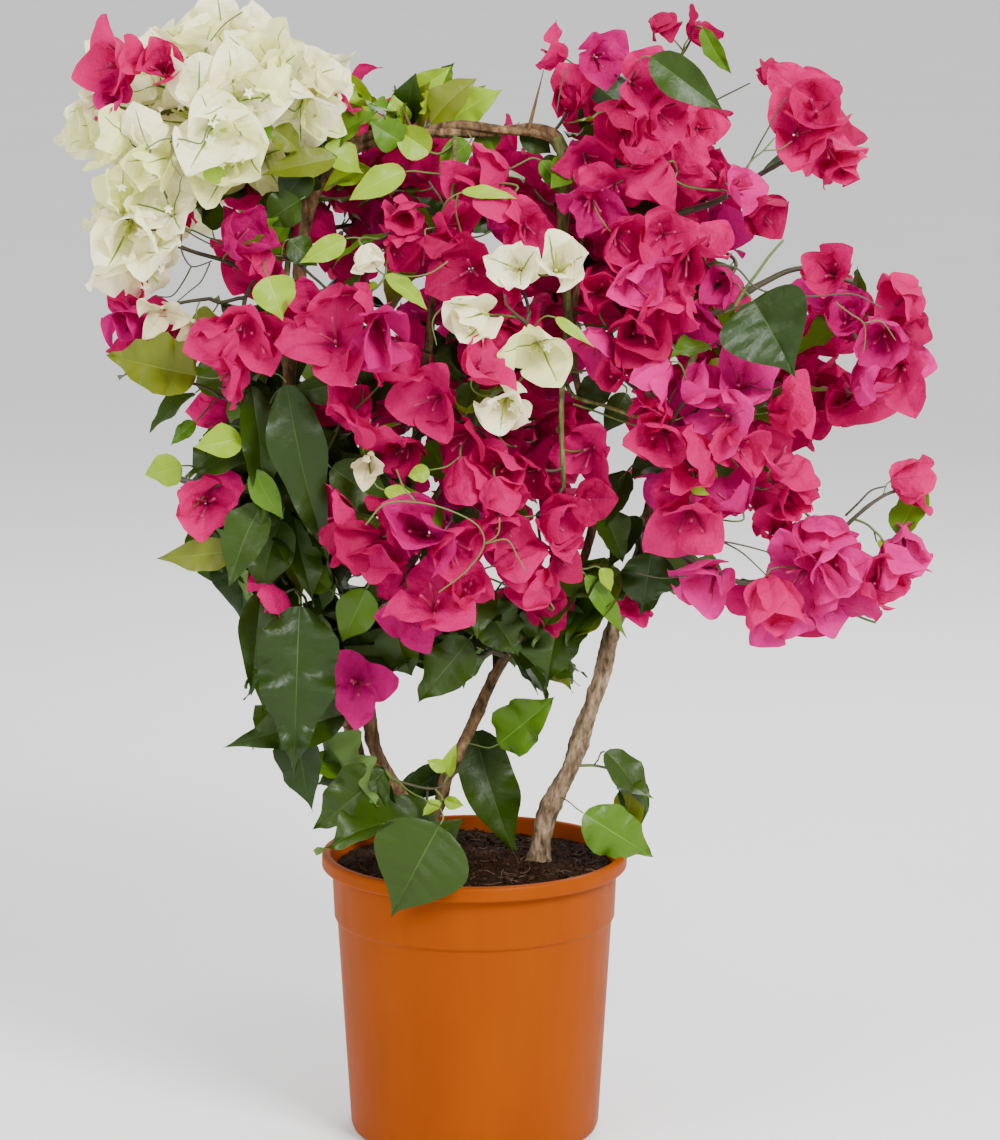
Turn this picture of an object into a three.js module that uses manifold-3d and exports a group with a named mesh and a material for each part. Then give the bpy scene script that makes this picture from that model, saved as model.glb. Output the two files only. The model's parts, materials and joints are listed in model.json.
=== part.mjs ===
// A potted bougainvillea in flower: woody stems that rise from a plastic nursery pot, spread like a fan and arch over,
// carrying masses of rose and creamy white bracts and green leaves. Millimetres, +Z up, the front faces -Y.
// The origin is the centre of the pot's flat underside.
import * as THREE from "three";
import { mergeVertices } from "three/addons/utils/BufferGeometryUtils.js";
import Module from "manifold-3d";

const wasm = await Module();
wasm.setup();

// ---- driving dimensions --------------------------------------------------------------------------------------------
const POT_HEIGHT = 159; // underside to the top of the rim
const RIM_RADIUS = 84.8; // outside of the rim's lip: a 17 cm pot
const LIP_DEPTH = 8.6; // height of the lip's band
const BAND_RADIUS = 79.2; // wall just under the lip
const STEP_HEIGHT = 121; // where the upper band steps in to the body
const BODY_RADIUS = 76.4; // wall just under that step
const FOOT_RADIUS = 69.2; // wall at the underside, before its rounded edge
const WALL = 1.8; // wall and floor thickness
const DRAIN_RADIUS = 4.2; // drain holes in the floor
const DRAIN_RING = 54; // their distance from the middle
const DRAIN_COUNT = 8;
const POT_SIDES = 32;
const SOIL_TOP = 151; // level of the compost
const GAP = 0.4; // clearance between neighbouring solids
const LUMP = 0.11; // how uneven a mass of foliage is
const FULLNESS = 2.7; // 2 makes a mass an ellipsoid, and more fills out its corners
const FLARE = 0.45; // how much wider a stem is at the soil
const FLARE_LENGTH = 7;

// ---- masses of foliage and blossom ---------------------------------------------------------------------------------
// name, centre x y z, half sizes x y z, lean about Y and about X in degrees, fineness, kind
const MASSES = [
  ["white_crown", -142, -8, 574, 80, 64, 52, 4, 0, 3, "white"],
  ["white_spill", -182, -22, 502, 31, 42, 42, 8, 0, 2, "white"],
  ["rose_left_tip", -179, -20, 436, 32, 36, 36, 0, 0, 2, "rose"],
  ["rose_left_fall", -127, -38, 472, 28, 40, 50, 0, 0, 2, "rose"],
  ["leaf_shoulder", -92, 6, 526, 36, 48, 38, 0, 0, 2, "leaf"],
  ["leaf_crest", -29, 14, 574, 48, 40, 20, 0, 0, 2, "leaf"],
  ["rose_heart_upper", -13, -18, 506, 78, 60, 48, 0, 0, 3, "rose"],
  ["rose_heart_left", -70, -56, 458, 50, 46, 44, 0, 0, 2, "rose"],
  ["white_heart", 29, -82, 454, 40, 30, 60, -12, 0, 2, "white"],
  ["rose_heart_mid", -10, -44, 400, 82, 54, 46, 0, 0, 2, "rose"],
  ["rose_skirt", -5, -56, 338, 76, 48, 50, 0, 0, 3, "rose"],
  ["rose_top", 86, -12, 563, 50, 64, 57, 0, 0, 3, "rose"],
  ["rose_top_tip", 116, -2, 608, 26, 24, 18, -8, 0, 2, "rose"],
  ["rose_far_upper", 192, -16, 557, 34, 42, 37, 0, 0, 2, "rose"],
  ["rose_right_mid", 112, -24, 476, 62, 82, 66, 0, 0, 3, "rose"],
  ["rose_outer_right", 213, -12, 444, 46, 52, 53, -10, 0, 2, "rose"],
  ["rose_right_low", 136, -34, 391, 64, 66, 62, 0, 0, 3, "rose"],
  ["rose_low_spray", 189, -30, 312, 68, 48, 43, 0, 0, 2, "rose"],
  ["rose_low_tip", 240, -28, 367, 18, 22, 18, 0, 0, 1, "rose"],
  ["leaf_left_mid", -108, -8, 372, 46, 52, 72, 0, 0, 2, "leaf"],
  ["leaf_left_tip", -153, -20, 357, 25, 30, 41, 0, 0, 2, "leaf"],
  ["leaf_left_low", -99, -24, 262, 36, 35, 53, -6, 0, 2, "leaf"],
  ["leaf_skirt", 9, -8, 274, 60, 42, 37, 0, 0, 2, "leaf"],
  ["leaf_right_low", 86, -26, 311, 20, 26, 29, 0, 0, 1, "leaf"],
  ["back_crown", -92, 66, 530, 106, 42, 68, 0, 0, 2, "rose"],
  ["back_upper_right", 76, 72, 522, 88, 40, 72, 0, 0, 2, "rose"],
  ["back_right", 156, 66, 404, 72, 40, 82, 0, 0, 2, "rose"],
  ["back_left", -117, 60, 404, 60, 38, 84, 0, 0, 2, "leaf"],
  ["back_heart", -3, 62, 400, 72, 42, 88, 0, 0, 2, "rose"],
  ["back_low", -3, 56, 279, 72, 36, 38, 0, 0, 2, "leaf"],
  ["leaf_hanging", 29, 2, 226, 19, 14, 20, 0, 0, 1, "foot"],
  ["leaf_foot_left", -66, -34, 197, 22, 15, 24, 0, 0, 1, "foot"],
  ["leaf_foot_mid", 2, 38, 189, 19, 16, 32, 0, 0, 1, "foot"],
  ["leaf_foot_back", -34, 48, 187, 19, 15, 17, 0, 0, 1, "foot"],
  ["leaf_foot_front", -31, -50, 177, 28, 46, 9, 0, 12, 1, "foot"],
  ["leaf_foot_right", 82, -4, 188, 20, 20, 26, 0, 0, 1, "foot"],
];

// ---- stems and boughs ----------------------------------------------------------------------------------------------
// name, radius at the foot, radius at the tip, whether it stands on the soil, the points that it passes through
const LIMBS = [
  ["stem_right", 5.3, 3.6, true, [[35, 4, SOIL_TOP], [39, 4, 174], [55, 3, 210], [67, 0, 247], [75, -3, 280], [83, -4, 301], [92, -4, 330]]],
  ["trunk_left", 6.4, 5.6, true, [[-24, 20, SOIL_TOP], [-24.5, 20, 161], [-26, 19.5, 172]]],
  ["stem_left_inner", 3.9, 2.9, false, [[-27, 20, 171], [-33, 19, 177], [-42, 17, 187], [-55, 12, 213], [-60, 8, 240], [-65, 5, 268], [-57, 4, 283], [-47, 3, 298]]],
  ["stem_middle", 3.3, 2.6, false, [[-24, 20, 171], [-19, 18, 181], [-15, 14, 199], [-1, 8, 229], [12, 4, 258], [31, 0, 288], [53, -2, 309]]],
  ["stem_left_outer", 3.8, 3.0, true, [[-46, 24, SOIL_TOP], [-53, 23, 172], [-62, 20, 196], [-71, 17, 238], [-75, 16, 270], [-82, 10, 306], [-88, 4, 330]]],
  ["bough_left_rise", 4.2, 3.8, false, [[-101, 0, 418], [-97, 0, 455], [-93, 0, 494], [-88, -6, 522], [-74, -12, 545]]],
  ["bough_top", 4.8, 4.4, false, [[-70, -14, 549], [-52, -17, 556], [-20, -18, 559.5], [9, -17, 560], [32, -15, 560], [43, -13.5, 556]]],
  ["bough_drop", 3.9, 3.0, false, [[46.5, -13, 552], [49, -13, 540], [48.5, -14, 522], [48, -17, 500]]],
  ["bough_far_upper", 1.9, 1.3, false, [[112, -20, 516], [130, -20, 522], [150, -18, 534], [176, -16, 549]]],
  ["bough_outer", 1.9, 1.4, false, [[130, -22, 462], [154, -24, 478], [176, -22, 486], [205, -16, 478]]],
  ["bough_low", 2.0, 1.5, false, [[88, -40, 352], [106, -42, 338], [124, -40, 326], [146, -32, 316]]],
  ["bough_low_tip", 1.3, 0.9, false, [[192, -30, 336], [206, -32, 352], [222, -31, 364], [238, -28, 368]]],
  ["bough_spill", 1.4, 1.0, false, [[-130, -30, 490], [-150, -30, 496], [-172, -24, 504]]],
];
const LIMB_SIDES = 7;
const LIMB_STEP = 13; // length of one ring's span
const WHOLE = ["bough_top"]; // this bough lies over the foliage, which is cut round it

// ---- helpers -------------------------------------------------------------------------------------------------------
function solidFrom(geometry) {
  const g = geometry.clone();
  for (const name of Object.keys(g.attributes)) if (name !== "position") g.deleteAttribute(name);
  const merged = mergeVertices(g, 1e-4);
  return new wasm.Manifold(
    new wasm.Mesh({
      numProp: 3,
      vertProperties: merged.attributes.position.array,
      triVerts: new Uint32Array(merged.index.array),
    }),
  );
}

function geometryFrom(solid) {
  const m = solid.getMesh();
  const v = new Float32Array(m.numVert * 3);
  for (let i = 0; i < m.numVert; i++) v.set(m.vertProperties.subarray(i * m.numProp, i * m.numProp + 3), i * 3);
  const g = new THREE.BufferGeometry();
  g.setAttribute("position", new THREE.BufferAttribute(v, 3));
  g.setIndex(new THREE.BufferAttribute(m.triVerts, 1));
  g.computeVertexNormals();
  return g;
}

function largest(solid) {
  return solid.decompose().reduce((a, b) => (b.volume() > a.volume() ? b : a));
}

function spun(profile) {
  const g = new THREE.LatheGeometry(profile.map(([r, z]) => new THREE.Vector2(r, z)), POT_SIDES);
  g.rotateX(Math.PI / 2);
  return g;
}

// A limb is a closed cylinder bent along a smooth curve, with its radius running from r0 to r1.
function limbGeometry([, r0, r1, grounded, points], grow = 0) {
  const curve = new THREE.CatmullRomCurve3(points.map((p) => new THREE.Vector3(...p)), false, "centripetal");
  const length = curve.getLength();
  const rings = Math.max(2, Math.round(length / LIMB_STEP));
  const frames = curve.computeFrenetFrames(rings, false);
  const g = new THREE.CylinderGeometry(1, 1, 1, LIMB_SIDES, rings, false);
  const p = g.attributes.position;
  for (let i = 0; i < p.count; i++) {
    const t = p.getY(i) + 0.5;
    const k = Math.round(t * rings);
    const spine = curve.getPointAt(t);
    const flare = grounded ? 1 + FLARE * Math.exp((-t * length) / FLARE_LENGTH) : 1;
    const r = (r0 + (r1 - r0) * t) * flare + grow;
    const a = frames.normals[k], b = frames.binormals[k];
    const v = spine.clone().addScaledVector(a, p.getX(i) * r).addScaledVector(b, -p.getZ(i) * r);
    if (grow) v.addScaledVector(frames.tangents[k], k === 0 ? -grow : k === rings ? grow : 0);
    if (grounded && k === 0) v.z = SOIL_TOP - grow; // the flat cut at the soil
    p.setXYZ(i, v.x, v.y, v.z);
  }
  return g;
}

// A mass's frame: its centre, half sizes, lean and the quadratic form whose unit level is its ellipsoid.
function massFrame([name, x, y, z, rx, ry, rz, lean, pitch, fine, kind], index) {
  const turn = new THREE.Matrix3().setFromMatrix4(
    new THREE.Matrix4().makeRotationFromEuler(
      new THREE.Euler(THREE.MathUtils.degToRad(pitch), THREE.MathUtils.degToRad(-lean), 0),
    ),
  );
  const back = turn.clone().transpose();
  const form = (v) => {
    const w = v.clone().applyMatrix3(back);
    return w.set(w.x / rx ** 2, w.y / ry ** 2, w.z / rz ** 2).applyMatrix3(turn);
  };
  return { name, kind, fine, seed: index * 1.7 + 0.4, turn, form, centre: new THREE.Vector3(x, y, z), half: new THREE.Vector3(rx, ry, rz) };
}

function reach(frame, towards) {
  return 1 / Math.sqrt(towards.dot(frame.form(towards)));
}

// The dividing plane between two masses, as [unit normal out of a, distance from a's centre].
function divide(a, b) {
  const between = b.centre.clone().sub(a.centre);
  const along = between.clone().normalize();
  const ra = reach(a, along), rb = reach(b, along);
  const normal = a.form(between).add(b.form(between)).normalize();
  return [normal, (normal.dot(between) * ra) / (ra + rb)];
}

// A lumpy, closed, star-shaped solid that fills its ellipsoid's box and keeps to its own side of every neighbour.
function massGeometry(frame, all, grow = 0) {
  const g = mergeVertices((() => {
    const s = new THREE.IcosahedronGeometry(1, frame.fine);
    s.deleteAttribute("normal");
    s.deleteAttribute("uv");
    return s;
  })(), 1e-4);
  const p = g.attributes.position, s = frame.seed, shape = [];
  const low = new THREE.Vector3(9, 9, 9), high = new THREE.Vector3(-9, -9, -9);
  for (let i = 0; i < p.count; i++) {
    const d = new THREE.Vector3().fromBufferAttribute(p, i);
    const lump =
      Math.sin(3.1 * d.x + 2.3 * s) * Math.cos(2.7 * d.y - s) +
      0.7 * Math.sin(4.3 * d.z + 3.9 * d.x - 1.3 * s) +
      0.6 * Math.sin(6.1 * d.y + 5.3 * d.z + 2.9 * s) * Math.cos(5.7 * d.x + s);
    const power = (x) => Math.abs(x) ** FULLNESS;
    d.multiplyScalar((1 + LUMP * lump) / (power(d.x) + power(d.y) + power(d.z)) ** (1 / FULLNESS));
    low.min(d);
    high.max(d);
    shape.push(d);
  }
  const mid = low.clone().add(high).multiplyScalar(0.5), span = high.clone().sub(low).multiplyScalar(0.5);
  const planes = all.filter((o) => o !== frame).map((o) => divide(frame, o));
  shape.forEach((d, i) => {
    const v = d.sub(mid).divide(span).multiply(frame.half).applyMatrix3(frame.turn);
    if (grow) v.multiplyScalar(1 + grow / v.length());
    for (const [normal, distance] of planes) {
      const out = normal.dot(v), most = distance - GAP / 2 + grow;
      if (out > most) v.multiplyScalar(most / out);
    }
    v.add(frame.centre);
    p.setXYZ(i, v.x, v.y, v.z);
  });
  return g;
}

// ---- materials -----------------------------------------------------------------------------------------------------
const finish = (color, roughness) => new THREE.MeshStandardMaterial({ color, roughness, metalness: 0 });
const MATERIALS = {
  pot: finish(0xc8641e, 0.45),
  soil: finish(0x2e1c12, 0.95),
  bark: finish(0x7d6450, 0.85),
  rose: finish(0xd31568, 0.6),
  white: finish(0xf1f2d6, 0.6),
  leaf: finish(0x3f5f2c, 0.5),
};
MATERIALS.foot = MATERIALS.leaf;

const bush = new THREE.Group();
function add(name, geometry, material) {
  const mesh = new THREE.Mesh(geometry, MATERIALS[material]);
  mesh.name = name;
  bush.add(mesh);
}

// ---- the pot and its compost ---------------------------------------------------------------------------------------
const lipBottom = POT_HEIGHT - LIP_DEPTH;
let pot = solidFrom(
  spun([
    [0, 0],
    [FOOT_RADIUS - 4, 0],
    [FOOT_RADIUS - 1, 1.2],
    [FOOT_RADIUS + 0.2, 4.5],
    [BODY_RADIUS, STEP_HEIGHT],
    [BODY_RADIUS + 1.6, STEP_HEIGHT + 1.4],
    [BAND_RADIUS, lipBottom],
    [RIM_RADIUS - 0.8, lipBottom],
    [RIM_RADIUS, POT_HEIGHT - 1.4],
    [RIM_RADIUS - 1.3, POT_HEIGHT],
    [BAND_RADIUS + 0.6, POT_HEIGHT],
    [BAND_RADIUS - WALL, lipBottom],
    [BODY_RADIUS - WALL, STEP_HEIGHT],
    [FOOT_RADIUS - WALL, 5],
    [FOOT_RADIUS - WALL - 3, WALL + 0.4],
    [0, WALL + 0.4],
  ]),
);
for (let i = 0; i < DRAIN_COUNT; i++) {
  const hole = new THREE.CylinderGeometry(DRAIN_RADIUS, DRAIN_RADIUS, 12, 6);
  const a = (i / DRAIN_COUNT) * 2 * Math.PI;
  hole.rotateX(Math.PI / 2);
  hole.translate(DRAIN_RING * Math.cos(a), DRAIN_RING * Math.sin(a), 0);
  pot = pot.subtract(solidFrom(hole));
}
add("pot", geometryFrom(pot), "pot");

const inner = (r) => r - WALL - GAP;
add(
  "soil",
  spun([
    [0, WALL + 0.4 + GAP],
    [inner(FOOT_RADIUS) - 3.4, WALL + 0.4 + GAP],
    [inner(FOOT_RADIUS) - 0.2, 5.5],
    [inner(BODY_RADIUS) - 0.2, STEP_HEIGHT],
    [inner(BAND_RADIUS) - 0.3, SOIL_TOP - 2.2],
    [inner(BAND_RADIUS) - 5, SOIL_TOP - GAP],
    [0, SOIL_TOP - GAP],
  ]),
  "soil",
);

// ---- the plant -----------------------------------------------------------------------------------------------------
const frames = MASSES.map(massFrame);
const massSolids = new Map(frames.map((f) => [f.name, solidFrom(massGeometry(f, frames))]));
const massCutters = frames.map((f) => [f, solidFrom(massGeometry(f, frames, GAP))]);

const done = []; // limbs already made, grown by the clearance
for (const limb of LIMBS) {
  let solid = solidFrom(limbGeometry(limb));
  if (!WHOLE.includes(limb[0])) for (const [frame, cutter] of massCutters) if (frame.kind !== "foot") solid = solid.subtract(cutter);
  for (const other of done) solid = solid.subtract(other);
  add(limb[0], geometryFrom(largest(solid)), "bark");
  const grown = solidFrom(limbGeometry(limb, GAP));
  done.push(grown);
  for (const frame of frames)
    if (frame.kind === "foot" || WHOLE.includes(limb[0]))
      massSolids.set(frame.name, largest(massSolids.get(frame.name).subtract(grown)));
}
for (const frame of frames) add(frame.name, geometryFrom(massSolids.get(frame.name)), frame.kind);

export default bush;
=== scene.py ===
# A potted bougainvillea in flower: woody stems spread like a fan and arch over a plastic nursery pot, with rose and
# creamy white papery bracts, small tube flowers and glossy leaves. All tables are in millimetres; meshes are in metres.
import json
import math

import bpy
import numpy as np
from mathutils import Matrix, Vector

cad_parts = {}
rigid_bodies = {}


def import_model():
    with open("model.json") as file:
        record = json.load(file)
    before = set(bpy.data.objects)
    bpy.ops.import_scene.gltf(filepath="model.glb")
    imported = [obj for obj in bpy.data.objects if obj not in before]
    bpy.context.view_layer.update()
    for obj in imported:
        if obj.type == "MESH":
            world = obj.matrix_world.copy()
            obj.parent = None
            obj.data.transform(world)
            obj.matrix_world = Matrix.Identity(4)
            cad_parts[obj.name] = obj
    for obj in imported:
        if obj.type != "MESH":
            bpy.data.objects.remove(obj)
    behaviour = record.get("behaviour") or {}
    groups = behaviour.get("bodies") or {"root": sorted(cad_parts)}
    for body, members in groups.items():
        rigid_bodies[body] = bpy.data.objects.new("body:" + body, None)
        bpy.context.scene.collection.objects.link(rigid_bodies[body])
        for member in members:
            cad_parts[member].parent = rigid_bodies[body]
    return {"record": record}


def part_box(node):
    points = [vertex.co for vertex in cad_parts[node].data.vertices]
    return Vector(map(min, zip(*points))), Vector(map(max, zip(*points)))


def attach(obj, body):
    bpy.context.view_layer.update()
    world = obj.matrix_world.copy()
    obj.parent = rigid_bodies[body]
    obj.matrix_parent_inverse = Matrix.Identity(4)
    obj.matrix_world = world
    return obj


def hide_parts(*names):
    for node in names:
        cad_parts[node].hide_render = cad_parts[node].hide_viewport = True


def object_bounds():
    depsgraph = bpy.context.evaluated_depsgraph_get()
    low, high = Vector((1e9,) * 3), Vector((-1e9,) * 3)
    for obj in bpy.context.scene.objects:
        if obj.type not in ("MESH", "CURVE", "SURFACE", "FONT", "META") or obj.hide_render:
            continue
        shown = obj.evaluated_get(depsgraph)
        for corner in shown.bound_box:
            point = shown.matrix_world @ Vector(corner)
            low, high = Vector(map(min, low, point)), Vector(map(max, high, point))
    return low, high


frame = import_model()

SEED = 20
MM = 0.001
CAD_BOX = [[float(x) for x in corner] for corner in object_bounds()]
rng = np.random.default_rng(SEED)

# ---- where blossom and leaves show from the front -------------------------------------------------------------------
# a trio of bracts: x, y, z of its middle and its size beside a common one
ROSE = {
    "rose_top": [ (52, -20, 586, 0.88), (67, -28, 599, 0.88), (43, -6, 601, 0.79), (78, -58, 570, 0.97), (62, -42, 546, 0.79), (93, -62, 537, 1.01), (100, -50, 572, 0.88), (121, -38, 562, 0.7), (50, -22, 575, 0.7), (86, -50, 588, 0.88), (115, -50, 547, 0.88), (73, -60, 532, 0.79), (129, -30, 536, 0.7), (88, -66, 554, 0.88)],
    "rose_top_tip": [ (101, -5, 615, 0.55), (121, -8, 613, 0.7)],
    "rose_far_upper": [ (158, 0, 590, 0.5), (183, -30, 573, 1.15), (191, -32, 551, 1), (175, -12, 580, 0.8), (174, -30, 561, 1), (197, -20, 541, 0.9)],
    "rose_right_mid": [ (155, -40, 517, 1.01), (143, -45, 531, 0.7), (114, -82, 496, 0.97), (78, -80, 507, 0.97), (99, -84, 512, 0.88), (129, -70, 481, 0.88), (87, -92, 461, 1.01), (76, -85, 439, 0.88), (63, -78, 452, 0.88), (66, -80, 481, 0.88), (104, -95, 475, 0.97), (95, -92, 440, 0.88), (122, -70, 504, 0.79), (62, -60, 524, 0.79), (87, -92, 486, 0.88)],
    "rose_outer_right": [ (188, -38, 489, 1.06), (228, -28, 470, 1.01), (218, -48, 450, 1.06), (212, -38, 427, 0.86), (236, -20, 434, 0.91), (200, -40, 462, 0.86), (228, -38, 432, 0.96), (200, -26, 415, 0.77), (232, -30, 454, 0.86)],
    "rose_right_low": [ (142, -75, 432, 1.01), (170, -58, 415, 0.97), (144, -62, 448, 0.83), (120, -85, 430, 0.92), (101, -86, 404, 1.01), (116, -92, 392, 1.01), (165, -60, 389, 0.92), (169, -55, 367, 0.92), (115, -86, 359, 1.06), (137, -80, 371, 0.92), (142, -80, 398, 0.92), (94, -80, 418, 0.92), (131, -86, 414, 0.92), (103, -84, 375, 0.83)],
    "rose_low_spray": [ (165, -46, 349, 0.85), (185, -50, 341, 1), (197, -62, 332, 1.15), (159, -60, 310, 1.15), (218, -45, 319, 1.08), (234, -30, 337, 1.05), (175, -52, 324, 1), (205, -42, 313, 0.95), (127, -48, 320, 1.1), (90, -30, 302, 0.6), (226, -42, 329, 0.9), (165, -50, 300, 0.98), (194, -45, 309, 0.95)],
    "rose_low_tip": [ (236, -28, 372, 1)],
    "rose_heart_upper": [ (15, -60, 523, 0.92), (10, -40, 540, 0.88), (-39, -58, 520, 0.97), (-22, -72, 501, 0.97), (-2, -50, 532, 0.79), (29, -60, 510, 0.79), (-11, -60, 515, 0.79), (-39, -60, 500, 0.7), (-2, -72, 491, 0.88)],
    "rose_heart_left": [ (-75, -86, 460, 1.14), (-50, -100, 460, 1.19), (-64, -80, 476, 0.95), (-68, -78, 438, 0.95), (-87, -70, 469, 0.85), (-41, -84, 440, 0.85)],
    "rose_heart_mid": [ (17, -66, 480, 0.76), (28, -64, 463, 0.76), (13, -72, 455, 0.67), (5, -104, 444, 0.85), (-53, -80, 406, 0.98), (-22, -84, 423, 0.98), (15, -86, 391, 0.98), (13, -98, 376, 0.89), (-65, -70, 417, 0.8), (-8, -82, 402, 0.89), (-37, -70, 394, 0.8), (59, -66, 392, 0.89), (-2, -86, 381, 0.89), (30, -80, 382, 0.8), (51, -60, 410, 0.71)],
    "rose_skirt": [ (-65, -88, 346, 1.1), (-28, -102, 353, 1.2), (-22, -96, 319, 1.1), (-2, -90, 322, 0.92), (25, -92, 339, 1.01), (47, -88, 360, 1.06), (58, -76, 369, 0.92), (-48, -86, 337, 0.92), (-8, -98, 347, 1.01), (14, -95, 356, 0.92), (35, -82, 322, 0.83), (-41, -85, 359, 0.83), (47, -78, 339, 0.83), (-70, -74, 362, 0.83), (-34, -84, 306, 0.74)],
    "rose_left_fall": [ (-123, -52, 505, 1), (-154, -30, 516, 0.6), (-112, -70, 455, 1.05), (-136, -74, 453, 1.05), (-123, -72, 459, 0.9), (-130, -66, 436, 0.9), (-116, -50, 493, 0.8)],
    "rose_left_tip": [ (-185, -40, 459, 0.95), (-157, -36, 448, 0.9), (-183, -28, 469, 0.9), (-174, -30, 446, 0.9)],
    "leaf_left_tip": [ (-145, -40, 360, 1.16)],
    "leaf_left_low": [ (-107, -48, 309, 1)],
    "leaf_right_low": [ (-62, -52, 263, 1.12)],
    "white_crown": [ (-189, -50, 600, 1.15), (-164, -54, 597, 0.9), (-192, -52, 578, 0.8), (-71, -22, 573, 0.6)],
}
WHITE = {
    "white_crown": [ (-206, -34, 563, 0.85), (-191, -52, 560, 1), (-169, -62, 545, 1.1), (-135, -66, 564, 1.14), (-122, -62, 552, 1.14), (-148, -30, 609, 0.99), (-128, -44, 604, 1.14), (-111, -50, 599, 1.14), (-92, -46, 577, 1.1), (-76, -30, 583, 1), (-145, -60, 589, 1.14), (-124, -62, 582, 1.14), (-138, -22, 613, 0.88), (-116, -26, 610, 0.9), (-86, -34, 590, 1), (-106, -60, 584, 1.04), (-170, -60, 564, 0.94), (-82, -36, 569, 0.9), (-137, -52, 541, 0.9), (-157, -16, 611, 0.78), (-202, -40, 572, 0.8)],
    "white_spill": [ (-186, -50, 530, 1.1), (-182, -52, 509, 1.25), (-174, -48, 489, 1.2), (-195, -36, 511, 0.8), (-167, -44, 503, 1), (-189, -36, 492, 0.8), (-163, -48, 523, 0.9)],
    "white_heart": [ (23, -84, 494, 0.78), (45, -86, 496, 0.98), (1, -88, 469, 1), (35, -88, 450, 1), (17, -88, 421, 1.04)],
    "single": [ (-54, -90, 499, 0.6)],
}
WITHERED = [(-167, -52, 464, 0.8), (-151, -50, 455, 0.6), (-57, -84, 389, 0.7)]
LEAVES = [
    (-147, -52, 432, -196, 438, 30, "olive"),
    (-37, 4, 576, -12, 591, 14, "young"),
    (-12, -2, 564, 13, 581, 20, "young"),
    (-40, -8, 559, -43, 578, 13, "young"),
    (-79, -22, 554, -52, 569, 19, "fresh"),
    (-80, -32, 552, -60, 538, 17, "young"),
    (-73, -40, 547, -111, 538, 17, "olive"),
    (-36, -40, 540, -66, 529, 15, "young"),
    (-67, -66, 507, -90, 494, 12, "young"),
    (-108, -74, 488, -100, 466, 22, "young"),
    (-6, -72, 532, 22, 531, 7, "young"),
    (-46, -86, 490, -24, 474, 9, "young"),
    (43, -96, 469, 62, 454, 6, "young"),
    (-124, -54, 399, -147, 393, 17, "young"),
    (-157, -36, 381, -176, 374, 17, "young"),
    (-150, -30, 404, -163, 392, 10, "fresh"),
    (-119, -48, 427, -112, 353, 20, "dark"),
    (-99, -68, 431, -83, 335, 27, "deep"),
    (-76, -66, 385, -42, 361, 24, "dark"),
    (-64, -62, 432, -97, 423, 17, "dark"),
    (-113, -50, 363, -135, 323, 24, "dark"),
    (-128, -44, 336, -169, 330, 17, "olive"),
    (-104, -38, 352, -117, 314, 25, "dark"),
    (-115, -34, 312, -124, 257, 19, "dark"),
    (-93, -66, 311, -100, 222, 40, "deep"),
    (-70, -36, 244, -133, 228, 25, "dark"),
    (-48, -42, 214, -85, 178, 29, "dark"),
    (-67, -30, 218, -43, 184, 19, "deep"),
    (-18, -84, 194, -44, 143, 50, "dark"),
    (0, 30, 221, 16, 150, 29, "dark"),
    (-18, 34, 198, -42, 180, 18, "deep"),
    (-14, -40, 210, -10, 228, 8, "young"),
    (-15, -40, 214, -25, 220, 7, "young"),
    (-18, -44, 197, -28, 190, 7, "young"),
    (-16, -44, 198, -6, 195, 7, "young"),
    (13, 0, 219, 44, 245, 27, "fresh"),
    (-2, -46, 288, -27, 253, 27, "dark"),
    (5, -54, 309, 23, 280, 26, "dark"),
    (48, -30, 306, 40, 261, 34, "dark"),
    (-44, -40, 297, -34, 266, 22, "dark"),
    (83, -40, 379, 70, 350, 18, "dark"),
    (68, -44, 359, 81, 331, 19, "dark"),
    (90, -34, 353, 74, 326, 16, "deep"),
    (69, -50, 434, 60, 411, 16, "dark"),
    (82, -44, 422, 70, 401, 14, "dark"),
    (14, -8, 560, -3, 549, 14, "fresh"),
    (25, -8, 559, 41, 547, 14, "dark"),
    (-23, -26, 549, -42, 562, 17, "young"),
    (-2, -24, 554, -19, 541, 14, "fresh"),
    (-38, -26, 554, -55, 565, 17, "fresh"),
    (-92, -40, 525, -110, 511, 20, "dark"),
    (-89, -36, 541, -102, 522, 18, "deep"),
    (-98, -42, 504, -85, 489, 16, "dark"),
    (60, -56, 325, 82, 291, 11, "fresh"),
    (68, -58, 329, 74, 317, 8, "young"),
    (96, -40, 335, 90, 300, 28, "deep"),
    (72, -4, 216, 97, 186, 21, "dark"),
    (60, -16, 184, 96, 156, 27, "fresh"),
    (146, -92, 478, 170, 440, 46, "deep"),
    (93, -56, 602, 129, 575, 20, "dark"),
    (122, -22, 615, 136, 591, 10, "fresh"),
    (-58, -44, 315, -70, 286, 21, "fresh"),
    (-78, -40, 314, -94, 325, 16, "fresh"),
    (36, -30, 545, 47, 528, 10, "fresh"),
    (-23, -88, 387, -34, 384, 9, "young"),
    (-47, -86, 376, -28, 371, 8, "young"),
    (-117, -58, 383, -106, 355, 14, "fresh"),
    (-139, -60, 548, -132, 534, 12, "young"),
    (-106, -48, 563, -92, 552, 14, "olive"),
]
# the base and tip of the large leaf over the rim
RIM_LEAF = ((-19, -30, 180), (-43, -90, 148))

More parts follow.
